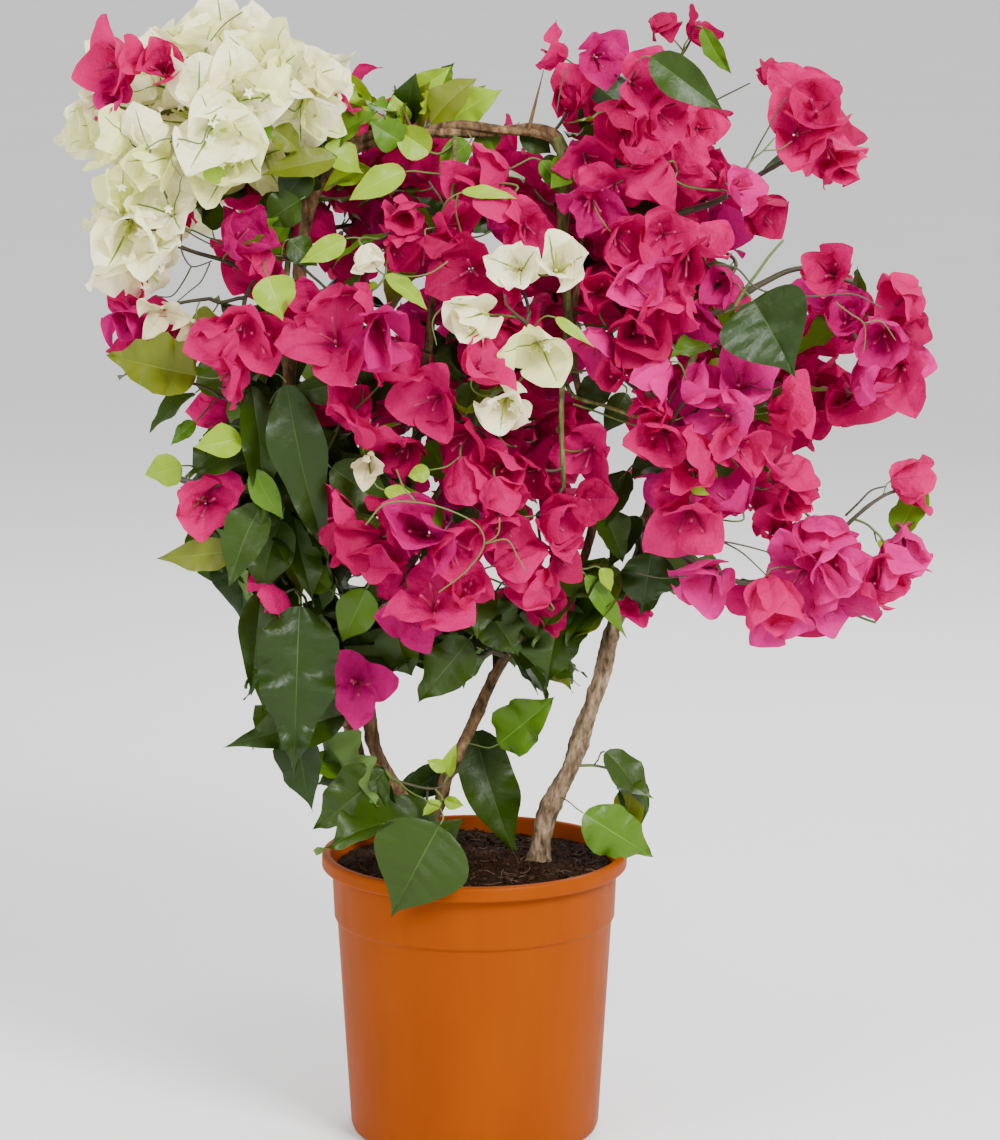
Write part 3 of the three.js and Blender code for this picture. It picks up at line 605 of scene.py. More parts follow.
pieces["twig_green"] = Piece("twigs_green", thin("twig_green", rgb("4f612a"), rgb("4f612a"), 0, (0.45, 0.6), 0.4, 700, 0.4), "leaf")
pieces["twig_dark"] = Piece("twigs_dark", thin("twig_dark", rgb("3a3724"), rgb("3a3724"), 0, (0.5, 0.7), 0.35, 700, 0.5), "bark")
pieces["tube_rose"] = Piece("flower_tubes_rose", thin("flower_tube_rose", rgb("9c1e4e"), rgb("c84072"), 0.15, (0.5, 0.65), 0.3), "rose")
pieces["tube_green"] = Piece("flower_tubes_green", thin("flower_tube_green", rgb("b9c468"), rgb("d5dd80"), 0.15, (0.5, 0.65), 0.3), "white")
pieces["star"] = Piece("flower_stars", thin("flower_star", rgb("f6f1cf"), rgb("fffbe0"), 0.2, (0.5, 0.65), 0.3), "white")
pieces["bark_grey"] = Piece("stems_grey", bark("bark_grey", [(0.34, rgb("33291f")), (0.6, rgb("927c62")), (0.46, rgb("67543f")), (0.72, rgb("b5a384"))], 230, 1.0), "bark")
pieces["bark_tan"] = Piece("stems_tan", bark("bark_tan", [(0.34, rgb("2b1d12")), (0.6, rgb("7b5f42")), (0.46, rgb("54402a")), (0.72, rgb("9c8260"))], 220, 1.0), "bark")
pieces["bark_green"] = Piece("boughs_green", bark("bark_green", [(0.3, rgb("34351c")), (0.62, rgb("6a6c40")), (0.48, rgb("50522c")), (0.74, rgb("85805a"))], 300, 0.5), "bark")
pieces["thorn"] = Piece("thorns", bark("bark_thorn", [(0.3, rgb("3a2c1f")), (0.7, rgb("75593c"))], 400, 0.3), "bark")


# ---- woody stems with the bark's relief -----------------------------------------------------------------------------
def bark_relief(seed, deep):
    own = np.random.default_rng(seed)
    a, b, c, d = own.uniform(0, 2 * math.pi, 4)
    knots = np.cumsum(own.uniform(18, 40, 40))
    sides = own.uniform(0, 2 * math.pi, 40)

    def relief(angle, along):
        wander = 1.1 * np.sin(along / 31 + a) + 0.6 * np.sin(along / 13 + b)
        ridge = np.abs(np.sin(2.5 * angle + wander)) * 0.7 + 0.5 * np.abs(np.sin(4 * angle - 1.4 * wander + along / 9 + c))
        fine = np.sin(9 * angle + along / 2.1 + d) * np.sin(along / 1.7 + 3 * angle)
        out = deep * (ridge - 0.7) + deep * 0.28 * fine + deep * 0.4 * np.sin(along / 7 + 2 * angle)
        for at, side in zip(knots, sides):
            near = np.exp(-(((along - at) / 2.6) ** 2))
            out = out + near * (0.1 + 0.16 * np.clip(np.cos(angle - side), 0, 1) ** 2)
        return out

    return relief


def radii(r0, r1, r2, count):
    t = np.linspace(0, 1, count)
    return np.where(t < 0.5, r0 + (r1 - r0) * (t / 0.5), r1 + (r2 - r1) * ((t - 0.5) / 0.5))


BARK_PIECE = {"grey": "bark_grey", "tan": "bark_tan", "top": "bark_tan", "green": "bark_green", "young": "twig_dark"}
wood = []  # every place that a twig can grow from: point, direction, radius
for index, (name, (r0, r1, r2, grounded, kind, points)) in enumerate(STEMS.items()):
    path = smooth_path(points, 1.3)
    r = radii(r0, r1, r2, len(path))
    along = np.concatenate([[0], np.cumsum(np.linalg.norm(np.diff(path, axis=0), axis=1))])
    if grounded:
        r = r * (1 + 0.45 * np.exp(-np.maximum(along - 2, 0) / 7))
    deep = {"grey": 0.27, "tan": 0.22, "top": 0.2, "green": 0.08, "young": 0.05}[kind]
    sides = 22 if r0 > 3 else 11
    own = np.random.default_rng(100 + index)
    sway = sum(own.uniform(-1, 1, (1, 3)) * np.sin(along[:, None] / w + own.uniform(0, 6.3)) for w in (8.5, 15.0)) * 0.5
    sway *= np.clip(along / 20, 0, 1)[:, None]
    path = path + sway * (0.9 if kind in ("grey", "tan", "top") else 0.4)
    if kind == "top":  # two strands that twist round each other
        tangent, a, b = path_frames(path)
        for k in (0, 1):
            turn = along[:, None] / 15 + math.pi * k
            strand = path + (a * np.cos(turn) + b * np.sin(turn)) * r[:, None] * 0.46
            pieces["bark_tan"].add(*tube(strand, r * 0.56, 20, bark_relief(40 + k, 0.22)))
    else:
        pieces[BARK_PIECE[kind]].add(*tube(path, r, sides, bark_relief(index, deep)))
    tangent = unit(np.gradient(path, axis=0))
    for k in range(4, len(path), 4):
        if path[k][2] > 160:
            wood.append((path[k], tangent[k], r[k]))
for foot, tip in THORNS:
    foot, tip = np.array(foot, float), np.array(tip, float)
    path = foot + (tip - foot) * np.linspace(0, 1, 7)[:, None]
    pieces["thorn"].add(*tube(path, np.linspace(1.35, 0.15, 7), 10))

# ---- where the masses lie -------------------------------------------------------------------------------------------
masses = {}
for row in frame["record"]["subparts"]:
    if row["material_slot"] in ("rose", "white", "leaf"):
        low, high = (np.array([float(x) for x in corner]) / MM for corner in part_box(row["node"]))
        masses[row["node"]] = (row["material_slot"], (low + high) / 2, (high - low) / 2)
centres = np.array([c for kind, c, h in masses.values()])
halves = np.array([h for kind, c, h in masses.values()])
low_box, high_box = np.array(CAD_BOX[0]) / MM, np.array(CAD_BOX[1]) / MM


def depth_in(points, grow=0.0):
    """For each point, the least level of the masses' rounded boxes: under 1 is inside one."""
    p = np.asarray(points, float)[:, None, :]
    return ((np.abs(p - centres) / (halves + grow)) ** 2.6).sum(-1).min(1)


# ---- where the blossom sits -----------------------------------------------------------------------------------------
# the way that the trios of a mass face
FACING = {
    "white_crown": (-0.15, -0.75, 0.5), "white_spill": (-0.4, -0.8, -0.1), "white_heart": (0, -1, 0.1), "single": (-0.2, -0.8, -0.5),
    "rose_left_tip": (-0.4, -0.8, 0.1), "rose_left_fall": (-0.1, -0.6, -0.6), "leaf_left_tip": (0.1, -0.8, -0.3), "leaf_left_low": (0.1, -0.7, -0.2),
    "leaf_right_low": (0.1, -0.8, -0.3), "rose_top": (0.1, -0.8, 0.35), "rose_top_tip": (0.1, -0.5, 0.7), "rose_far_upper": (0.45, -0.8, 0.1),
    "rose_outer_right": (0.45, -0.75, 0.0), "rose_low_spray": (0.25, -0.75, -0.3), "rose_low_tip": (0.7, -0.6, 0.2), "rose_skirt": (0, -0.9, -0.15),
}
blooms = []  # centre, facing, size, kind, tone


def tone_for(mass, y):
    # painted light: the masses on the lower right (low spray, low tip, outer right, right low) get more of the bright
    # pink tone d and less of the deep tone c, on the side that the key lamp lights
    share = {"rose_low_spray": (1, 3, 0, 5, 2), "rose_low_tip": (0, 1, 0, 5, 1), "rose_outer_right": (3, 4, 1, 3, 2), "rose_right_low": (4, 3, 1, 2, 2), "rose_top": (4, 3, 3, 0, 2), "rose_skirt": (6, 2, 2, 0, 1)}.get(mass, (4, 3, 3, 1, 1))
    # painted shade: blooms further back (y above -20) get mostly the deep crimson tone c
    if y > -20:
        share = (3, 1, 5, 0, 1)
    p = np.array(share, float)
    return "abcde"[rng.choice(5, p=p / p.sum())]


for kind, table in (("rose", ROSE), ("white", WHITE)):
    for mass, rows in table.items():
        middle = np.mean([r[:3] for r in rows], axis=0)
        for x, y, z, size in rows:
            out = np.array([x, y, z]) - middle
            out = out / (np.linalg.norm(out) + 18)
            calm = 0.15 if mass in ("white_heart",) else 0.7
            facing = unit(np.array(FACING.get(mass, (0, -0.75, -0.05))) * 0.85 + 0.5 * out + rng.normal(0, calm, 3))
            if facing[1] > 0.35:
                facing[1] = -facing[1]
            tone = tone_for(mass, y) if kind == "rose" else "ab"[int(rng.random() < 0.35)]
            blooms.append((np.array([x, y, z], float), unit(facing), size, kind, tone, mass))
for x, y, z, size in WITHERED:
    blooms.append((np.array([x, y, z], float), unit((-0.2, -0.8, -0.3)), size, "withered", "", "withered"))
shown = np.array([b[0] for b in blooms])

# what shows from the front bounds everything that grows
shown_front = front(shown)
shown_reach = np.array([15.0 * b[2] for b in blooms])
leaf_discs = []
for x, y, z, tx, tz, width, tone in LEAVES:
    for t in (0.1, 0.4, 0.7, 0.95):
        leaf_discs.append((x + (tx - x) * t, z + (tz - z) * t, width * (0.5 if 0.2 < t < 0.8 else 0.25) + 5))
leaf_discs = np.array(leaf_discs)
for x, z, r in BETWEEN:
    leaf_discs = np.vstack([leaf_discs, [x, z, r]])
disc_at = np.vstack([shown_front, leaf_discs[:, :2]])
disc_reach = np.concatenate([shown_reach, leaf_discs[:, 2]])


def hidden_by_shown(points, slack=0.0):
    """True if every point shows inside the front's outline and in none of its openings."""
    f = front(np.atleast_2d(points))
    near = np.linalg.norm(f[:, None] - disc_at, axis=2) < disc_reach + slack
    return bool(near.any(1).all() and not in_opening(points, 2.5).any())


spots = shown.copy()
heart = np.array([0.0, 0.0, 430.0])
for mass, (kind, centre, half) in masses.items():
    if kind == "leaf" and not mass.startswith("back"):
        continue
    volume = 8 * np.prod(half)
    back = mass.startswith("back")
    wanted = int(volume / (52.0 if kind == "leaf" else 31.0 if back else 62.0 if kind == "rose" else 33.0) ** 3)
    made = 0
    for attempt in range(wanted * 40):
        if made >= wanted:
            break
        d = rng.normal(size=3)
        d /= (np.abs(d) ** 2.4).sum() ** (1 / 2.4)
        p = centre + half * d * rng.uniform(0.35, 0.86)
        if np.linalg.norm(spots - p, axis=1).min() < (24 if kind == "rose" else 20):
            continue
        near = np.linalg.norm((shown - p)[:, [0, 2]], axis=1) < 34
        if near.any() and p[1] < shown[near][:, 1].max() + 24:
            continue
        if not back and p[1] < centre[1] - (0.1 if kind == "rose" else 0.4) * half[1]:
            continue
        out = unit(p - centre)
        if not hidden_by_shown(p + np.array([(0, 0, 0), (14, 0, 0), (-14, 0, 0), (0, 0, 14), (0, 0, -14)], float), 4):
            continue
        away = unit((p - heart) * (0.5, 1, 0.5))
        facing = unit(out + 0.6 * away + (0, 0, 0.15) + rng.normal(0, 0.35, 3))
        bloom = "white" if kind == "white" or (mass == "back_crown" and p[0] < -135) else "rose"
        tone = tone_for(mass, p[1]) if bloom == "rose" else "ab"[int(rng.random() < 0.5)]
        blooms.append((p, facing, rng.uniform(0.85, 1.1), bloom, tone, mass))
        spots = np.vstack([spots, p])
        made += 1

# ---- trios of bracts with their tube flowers ------------------------------------------------------------------------
BRACT = 29.0  # length of a common bract
grid_rose = Grid(5, 1, (0.26, 0.52, 0.78), rib=0.02, rib_to=0.62)
grid_cream = Grid(5, 1, (0.26, 0.52, 0.78), width=0.005, rib=0.036, rib_to=0.8)
feet = []  # where each trio's stalk ends, and its direction there


def rows_of(kind, tone):
    return [b for b in blooms if b[3] == kind and b[4] == tone]


def trios(rows, piece, veins, kind, seed):
    own = np.random.default_rng(seed)
    n = len(rows)
    if not n:
        return
    centre = np.array([r[0] for r in rows])
    axis = np.array([r[1] for r in rows])
    size = np.array([r[2] for r in rows])
    bud = size < 0.65
    heart_flower = np.array([r[5] in ("white_heart",) for r in rows])
    # how it opens: a lantern whose bracts arch out and close again, a wide one, or one that has stayed narrow
    habit = own.choice(3, n, p=(0.5, 0.28, 0.22) if kind != "white" else (0.35, 0.55, 0.1))
    lone = np.array([r[5].startswith("leaf_") for r in rows])  # the single ones among the leaves are wide open
    habit = np.where(heart_flower | lone, 1, np.where(bud, 2, habit))
    open_angle = np.choose(habit, (own.uniform(0.6, 0.85, n), own.uniform(0.7, 1.0, n), own.uniform(0.3, 0.5, n)))
    curve0 = np.choose(habit, (own.uniform(-0.2, 0.1, n), own.uniform(-0.1, 0.25, n), own.uniform(-0.2, 0.0, n)))
    curve1 = np.choose(habit, (own.uniform(0.3, 0.8, n), own.uniform(-0.6, 0.3, n), own.uniform(0.0, 0.6, n)))
    curve2 = np.choose(habit, (own.uniform(-0.3, 0.4, n), own.uniform(-0.6, 0.2, n), own.uniform(-0.7, 0.1, n)))
    curve1 = np.where(lone, own.uniform(-0.1, 0.2, n), curve1)
    curve2 = np.where(lone, own.uniform(-0.2, 0.1, n), curve2)
    if kind == "white":  # the open ones in the middle are wide cups
        curve1 = np.where(heart_flower, own.uniform(0.55, 0.85, n), curve1)
        curve2 = np.where(heart_flower, own.uniform(-0.7, -0.35, n), curve2)
    round_in = np.choose(habit, (own.uniform(0.25, 0.6, n), own.uniform(0.05, 0.35, n), own.uniform(0.35, 0.75, n)))
    grid_bract = grid_rose if kind == "rose" else grid_cream
    length = BRACT * size * own.uniform(0.92, 1.08, n) * (1.02 if kind == "rose" else 1.0) * np.where(lone, 0.85, 1.0)
    base = centre - axis * (length * np.cos(open_angle) * 0.55)[:, None]
    side = square_to(own.normal(size=(n, 3)), axis)
    other = np.cross(axis, side)
    for p, a, l in zip(base, axis, size):
        feet.append((p, a, l))
    for k in range(3):
        roll = own.uniform(-0.18, 0.18, n) + k * 2 * math.pi / 3
        radial = side * np.cos(roll)[:, None] + other * np.sin(roll)[:, None]
        lean = open_angle + own.normal(0, 0.16, n)
        y = axis * np.cos(lean)[:, None] + radial * np.sin(lean)[:, None]
        z = axis * np.sin(lean)[:, None] - radial * np.cos(lean)[:, None]
        own_length = length * own.uniform(0.92, 1.08, n)
        wide = own.uniform(0.43, 0.53, n) if kind != "withered" else own.uniform(0.3, 0.36, n)
        start = base + radial * 0.8
        verts = blades(
            grid_bract, start, y, z, own_length, own_length * wide, rise=0.5, fall=0.76,
            bend=(curve0 + own.normal(0, 0.08, n), curve1 + own.normal(0, 0.15, n), curve2), fold=own.uniform(-0.05, 0.3, n), cup=round_in * own.uniform(0.7, 1.3, n),
            crumple=own.uniform(0.06, 0.16, n) * (2.0 if kind == "withered" else 1.0), edge=own.uniform(0.0, 0.06, n), drip=own.uniform(0.0, 0.35, n),
            ruffle=own.uniform(0.07, 0.2, n) * {"withered": 1.9, "white": 1.35, "rose": 1.0}[kind],
            waves=own.uniform(0.9, 2.0, n), quilt=own.uniform(0.02, 0.045, n) * (1.0 if kind == "rose" else 1.6), twist=own.normal(0, 0.3, n), sway=own.normal(0, 0.08, n), seed=seed * 7 + k,
        )
        side_veins = grid_bract.side if kind != "rose" else np.zeros(len(grid_bract.quads), bool)
        pieces[piece].add(*spread(grid_bract, verts, ~grid_bract.rib & ~side_veins))
        pieces[veins].add(*spread(grid_bract, verts, grid_bract.rib))
        if kind != "rose":
            pieces[veins.replace("vein", "side")].add(*spread(grid_bract, verts, side_veins))
        if kind == "withered":
            continue
        # one slender tube flower on each bract's midrib
        for i in range(n):
            if size[i] < 0.7 or rows[i][0][1] > 45 and own.random() < 0.5:
                continue
            reach = own_length[i] * own.uniform(0.4, 0.6)
            foot = start[i] + axis[i] * 0.6
            way = unit(axis[i] + radial[i] * own.uniform(0.12, 0.34))
            u = np.linspace(0, 1, 6)[:, None]
            path = foot + way * reach * u + radial[i] * reach * 0.1 * u**2
            flower = "tube_green" if kind == "white" else "tube_rose"
            pieces[flower].add(*tube(path, np.array([0.75, 0.95, 1.15, 0.85, 0.8, 1.0]) * size[i], 5))
            if own.random() < (0.4 if kind == "white" else 0.0):
                star(path[-1] + unit(path[-1] - path[-2]) * 0.5, unit(path[-1] - path[-2]), 3.1 * size[i], own)


def star(at, axis, reach, own):
    """The open end of a tube flower: five short lobes round a small mouth."""
    side = square_to(own.normal(size=3), axis)
    other = np.cross(axis, side)
    verts, tris = [at], []
    for k in range(10):
        a = k * math.pi / 5
        r = reach if k % 2 == 0 else reach * 0.5
        verts.append(at + (side * math.cos(a) + other * math.sin(a)) * r + axis * (0.5 if k % 2 == 0 else 0.9))
    for k in range(10):
        tris.append((0, 1 + k, 1 + (k + 1) % 10))
    pieces["star"].add(np.array(verts), None, np.array(tris))


for index, tone in enumerate("abcde"):
    trios(rows_of("rose", tone), "rose_" + tone, "rose_vein", "rose", 200 + index)
for index, tone in enumerate("ab"):
    trios(rows_of("white", tone), "white_" + tone, "white_vein", "white", 220 + index)
trios(rows_of("withered", ""), "withered", "withered_vein", "withered", 240)

# ---- the twigs, grown from the stems to every trio and leaf ---------------------------------------------------------
node_at = [w[0] for w in wood]
node_way = [w[1] for w in wood]
node_up = [-1] * len(wood)
node_load = [0.0] * len(wood)
fixed = len(wood)
twigs = []
POWER = 2.4


def grow(target, arrive, step=6.0, tip_radius=0.5, straight=0.35):
    """A twig from the best place on the plant to target, which it reaches in the direction arrive."""
    at, way = np.array(node_at), np.array(node_way)
    gap = target - at
    far = np.linalg.norm(gap, axis=1)
    turn = (gap * way).sum(1) / np.maximum(far, 1e-6)
    level = (gap * arrive).sum(1) / np.maximum(far, 1e-6)
    cost = far * (1 + 0.35 * (1 - turn) + 0.45 * (1 - level)) + np.where(far < 7, 30, 0) + 0.25 * np.maximum(at[:, 2] - target[2], 0)
    j = int(np.argmin(cost))
    span = far[j]
    p0, p3 = at[j], np.asarray(target, float)
    p1 = p0 + unit(way[j] * 0.7 + unit(gap[j])) * span * straight
    p2 = p3 - arrive * span * straight
    mid_sag = np.array([0, 0, -0.05 * span])
    count = max(4, int(math.ceil(span / step)) + 1)
    t = np.linspace(0, 1, count)[:, None]
    path = (1 - t) ** 3 * p0 + 3 * (1 - t) ** 2 * t * (p1 + mid_sag) + 3 * (1 - t) * t**2 * (p2 + mid_sag) + t**3 * p3
    wiggle = rng.normal(0, 0.012 * span, (count, 3))
    path[1:-1] += wiggle[1:-1] * 0.6
    way_at = unit(np.gradient(path, axis=0))
    ids = [j]
    for k in range(1, count):
        node_at.append(path[k])
        node_way.append(way_at[k])
        node_up.append(ids[-1])
        node_load.append(0.0)
        ids.append(len(node_at) - 1)
    load = tip_radius**POWER
    i = ids[-1]
    while i >= fixed:
        node_load[i] += load
        i = node_up[i]
    twigs.append(ids)
    return path


# first the hidden boughs inside each mass, then a stalk to each trio
order = sorted(masses.items(), key=lambda m: min(np.linalg.norm(w[0] - m[1][1]) for w in wood))
for mass, (kind, centre, half) in order:
    if mass.startswith("leaf_foot") or mass == "leaf_hanging":
        continue
    for k in range(3 if max(half) > 45 else 1):
        p = centre + half * rng.uniform(-0.5, 0.5, 3) * (1 if k else 0.2)
        grow(p, unit(p - heart + (0, 0, 60)), tip_radius=0.7)
feet_at = np.array([f[0] for f in feet])
near_wood = np.array([min(np.linalg.norm(w[0] - p) for w in wood) for p in feet_at])
for i in np.argsort(near_wood):
    p, a, size = feet[i]
    grow(p, a, step=5.0, tip_radius=0.42 + 0.12 * size)

# ---- leaves ---------------------------------------------------------------------------------------------------------
grid_leaf = Grid(5, 1, (0.24, 0.5, 0.77), first=0.1, last=0.76, width=0.0035, rib=0.02, slant=0.27)
grid_large = Grid(6, 2, (0.16, 0.34, 0.55, 0.78), first=0.09, last=0.78, width=0.0028, rib=0.015, slant=0.27)
leaves = []  # base, way, upper side, length, width, tone, droop, hero


def leaf(base, way, up, length, width, tone, droop, hero=False, ruffle=0.1):
    leaves.append((np.asarray(base, float), unit(way), np.asarray(up, float), length, width, tone, droop, hero, ruffle))


for x, y, z, tx, tz, width, tone in LEAVES:
    base = np.array([x, y, z], float)
    ahead = rng.uniform(-0.25, 0.2)
    way = np.array([tx - x, ahead * math.hypot(tx - x, tz - z), tz - z], float)
    length = np.linalg.norm(way)
    turned = 0.12 if width > 24 else 0.35
    up = np.array([rng.normal(0, turned), -0.9, 0.35 + rng.normal(0, 0.6 * turned)])
    leaf(base, way, up, length * 1.06, width * 1.1, tone, rng.uniform(0.3, 0.6), True, 0.03 if width > 42 else 0.19 if width > 24 else 0.1)
# the large leaf that hangs over the rim
leaf(RIM_LEAF[0], np.array(RIM_LEAF[1]) - RIM_LEAF[0] + (-34, 0, 26), (-0.1, -0.6, 0.9), 90, 56, "dark", 1.1, True, 0.16)

bloom_at = np.array([b[0] for b in blooms])
hero_at = shown


def hides_blossom(points):
    """True if a leaf here would lie in front of blossom that shows from the front."""
    for p in points:
        near = np.linalg.norm((hero_at - p)[:, [0, 2]], axis=1) < 14.0
        if near.any() and p[1] < hero_at[near][:, 1].max() + 9:
            return True
    return False


def tone_of(mass, y, own):
    if mass in ("leaf_crest", "leaf_shoulder"):
        p = (0.2, 0.1, 0.35, 0.3, 0.05)
    elif mass.startswith("leaf"):
        p = (0.5, 0.24, 0.17, 0.02, 0.07)
    elif mass.startswith("back") or y > 20:
        p = (0.4, 0.25, 0.22, 0.05, 0.08)
    else:
        p = (0.36, 0.2, 0.28, 0.1, 0.06)
    return ("dark", "deep", "fresh", "young", "olive")[own.choice(5, p=p)]


def mass_at(p):
    level = ((np.abs(p - centres) / halves) ** 2.6).sum(1)
    return list(masses)[int(np.argmin(level))]


# leaves one by one along the twigs, each turned from the last
twig_count = len(twigs)
for ids in twigs[:twig_count]:
    path = np.array([node_at[i] for i in ids])
    along = np.concatenate([[0], np.cumsum(np.linalg.norm(np.diff(path, axis=0), axis=1))])
    turn = rng.uniform(0, 2 * math.pi)
    at = rng.uniform(5, 11)
    while at < along[-1] - 5:
        k = min(int(np.searchsorted(along, at)), len(path) - 1)
        p, way = path[k], node_way[ids[k]]
        at += rng.uniform(11, 17)
        turn += 2.4
        mass = mass_at(p)
        kind = masses[mass][0]
        chance = {"leaf": 0.95, "rose": 0.85, "white": 0.2}[kind]
        if rng.random() > chance:
            continue
        side = square_to(np.array([0.3, 0.2, 1.0]), way)
        radial = side * math.cos(turn) + np.cross(way, side) * math.sin(turn)
        direction = unit(0.5 * way + 0.85 * radial + (0, 0, -0.12))
        length = {"leaf": rng.uniform(30, 52), "rose": rng.uniform(20, 40), "white": rng.uniform(18, 30)}[kind]
        reach = p + direction * (length + 6)
        if depth_in([reach], 4)[0] > 1.0 or depth_in([p + direction * length * 0.6], 2)[0] > 1.0 or p[2] < 212:
            continue
        if hides_blossom([p + direction * length * 0.5, reach]) or not hidden_by_shown([p + direction * length * 0.55, reach], 6):
            continue
        stalk = p + direction * rng.uniform(4, 8)
        up = np.array([0.0, -0.25, 1.0]) + rng.normal(0, 0.3, 3)
        leaf(stalk, direction, up, length, length * rng.uniform(0.52, 0.66), tone_of(mass, p[1], rng), rng.uniform(0.2, 0.8))
        pieces["twig_green"].add(*tube(np.array([p, (p + stalk) / 2 + (0, 0, -0.3), stalk]), [0.55, 0.45, 0.45], 5))

# the masses that are mostly leaves: more of them, hanging at the sides and standing up on the crest
for mass, (kind, centre, half) in masses.items():
    if kind != "leaf" or mass.startswith("leaf_foot") or mass == "leaf_hanging":
        continue
    back = mass.startswith("back")
    wanted = int(8 * np.prod(half) / (31.0 if back else 28.0) ** 3) + 3
    for attempt in range(wanted * 12):
        if wanted <= 0:
            break
        d = rng.normal(size=3)
        d /= (np.abs(d) ** 2.4).sum() ** (1 / 2.4)
        p = centre + half * d * rng.uniform(0.2, 0.8)
        out = unit(p - centre)
        rise = {"leaf_crest": 0.9, "leaf_shoulder": 0.2}.get(mass, -0.75)
        direction = unit(out * (1, 0.8, 0.5) + (0, 0, rise) + rng.normal(0, 0.3, 3))
        length = rng.uniform(20, 34) if mass in ("leaf_crest", "leaf_shoulder") else rng.uniform(36, 66)
        tip = p + direction * length
        if depth_in([tip], 5)[0] > 1.0 or hides_blossom([p, p + direction * length * 0.5, tip]) or not hidden_by_shown([p, p + direction * length * 0.5, tip], 0):
            continue
        if not back and p[1] < centre[1] - 0.75 * half[1]:
            continue
        up = out * (1, 1, 0.3) + (0, 0, 0.5) + rng.normal(0, 0.25, 3)
        leaf(p, direction, up, length, length * rng.uniform(0.5, 0.62), tone_of(mass, p[1], rng), rng.uniform(0.2, 0.6), False, 0.14)
        grow(p, direction, step=6.0, tip_radius=0.5)
        wanted -= 1

# leaves low on the stems
for mass, (kind, centre, half) in masses.items():
    if not (mass.startswith("leaf_foot") or mass == "leaf_hanging") or mass in ("leaf_foot_front",):
        continue
    for k in range(3 if mass != "leaf_foot_left" else 2):
        p = centre + half * rng.uniform(-0.35, 0.35, 3) * (1, 1, 0.5) + (0, max(0, 6 - centre[1] * 0.1), half[2] * 0.35)
        direction = unit(rng.normal(0, 0.6, 3) + (0, 0.15, -0.7))
        length = rng.uniform(24, 36)
        if (p + direction * length)[2] < 158 or depth_in([p + direction * length], 9)[0] > 1.0 or not hidden_by_shown([p, p + direction * length * 0.5, p + direction * length], 6):
            continue
        leaf(p, direction, (0, -0.6, 0.8), length, length * 0.56, tone_of(mass, p[1], rng), 0.4)
        grow(p, direction, tip_radius=0.5)

for base, way, up, length, width, tone, droop, hero, ruffle in leaves:
    if hero:
        grow(base, way, step=6.0, tip_radius=0.5)

for tone in LEAF_TONES:
    for large in (False, True):
        rows = [v for v in leaves if v[5] == tone and (v[3] > 58 or v[4] > 30) == large]
        if not rows:
            continue
        own = np.random.default_rng(300 + len(tone) + 10 * large)
        n = len(rows)
        base, way, up = (np.array([r[i] for r in rows]) for i in (0, 1, 2))
        length, width, droop, ruffle = (np.array([r[i] for r in rows], float) for i in (3, 4, 6, 8))
        grid = grid_large if large else grid_leaf
        shape = dict(
            length=length, half=width / 2, rise=0.72, fall=own.uniform(1.1, 1.4, n) + np.where(width > 50, 0.55, 0.2 * large),
            bend=(droop * 0.5, -droop * 0.9, -droop * 0.15), fold=own.uniform(0.08, 0.3, n) + (0.12 if large else 0.0), cup=own.uniform(-0.12, 0.25, n), ruffle=ruffle * own.uniform(0.8, 1.6, n) * (1.35 if large else 1.0), edge=np.where(ruffle > 0.15, own.uniform(0.04, 0.08, n), own.uniform(0.02, 0.06, n) * np.clip(ruffle / 0.12, 0.2, 1.6) * (1.2 if large else 1.0)), crumple=own.uniform(0.02, 0.06, n), drip=own.uniform(0.0, 0.4, n),
            waves=own.uniform(1.6, 3.0, n) * np.where(ruffle > 0.15, 1.2, 1.0), quilt=own.uniform(0.02, 0.04, n) * (1.8 if large else 1.0), twist=own.normal(0, 0.2, n), sway=own.normal(0, 0.06, n), seed=400 + len(tone) + 10 * large,
        )
        top = blades(grid, base, way, up, **shape)
        under = blades(grid, base, way, up, deep=0.28, **shape)
        pieces["leaf_" + tone].add(*spread(grid, top, ~grid.rib))
        pieces["leaf_vein_" + tone].add(*spread(grid, top, grid.rib))
        outer = np.array([bool(r[7]) or r[4] > 26 for r in rows])  # the leaves whose undersides are seen
        if outer.any():
            pieces["leaf_under"].add(*spread(grid, under.reshape(n, -1, 3)[outer], np.ones(len(grid.quads), bool), True))

# the single stalks in front, and what they spring from
for radius, piece, points in STALKS:
    path = smooth_path(points, 3.0)
    t = np.linspace(1.15, 0.8, len(path))
    pieces[piece].add(*tube(path, radius * 0.62 * t, 6))

# ---- the twigs' own meshes ------------------------------------------------------------------------------------------
for ids in twigs:
    path = np.array([node_at[i] for i in ids])
    load = np.array([node_load[i] for i in ids])
    load[0] = load[1]
    r = np.clip(load ** (1 / POWER), 0.35, 2.3)
    limb = wood[ids[0]][2] if ids[0] < fixed else None
    if limb is not None:
        r = np.minimum(r, max(limb * 0.85, 0.6))
    fine = smooth_path(path, 3.0) if len(path) > 2 else path
    rr = np.interp(np.linspace(0, 1, len(fine)), np.linspace(0, 1, len(path)), r)
    piece = "twig_dark" if r.mean() > 0.78 else "twig_green"
    pieces[piece].add(*tube(fine, rr, 6 if r.mean() > 0.9 else 4))

# ---- the pot --------------------------------------------------------------------------------------------------------
POT = [
    (0, 0), (60, 0), (64.5, 0), (68.2, 1.2), (69.4, 4.5), (76.4, 121), (78.0, 122.6), (79.2, 150.4), (83.9, 150.5), (84.8, 151.6), (84.8, 157.3), (84.2, 158.6),
    (82.8, 159.0), (80.6, 158.9), (79.8, 158.0), (77.4, 150.4), (76.3, 122.8), (74.6, 121.2), (67.4, 5.0), (64.4, 2.3), (0, 2.3),
]


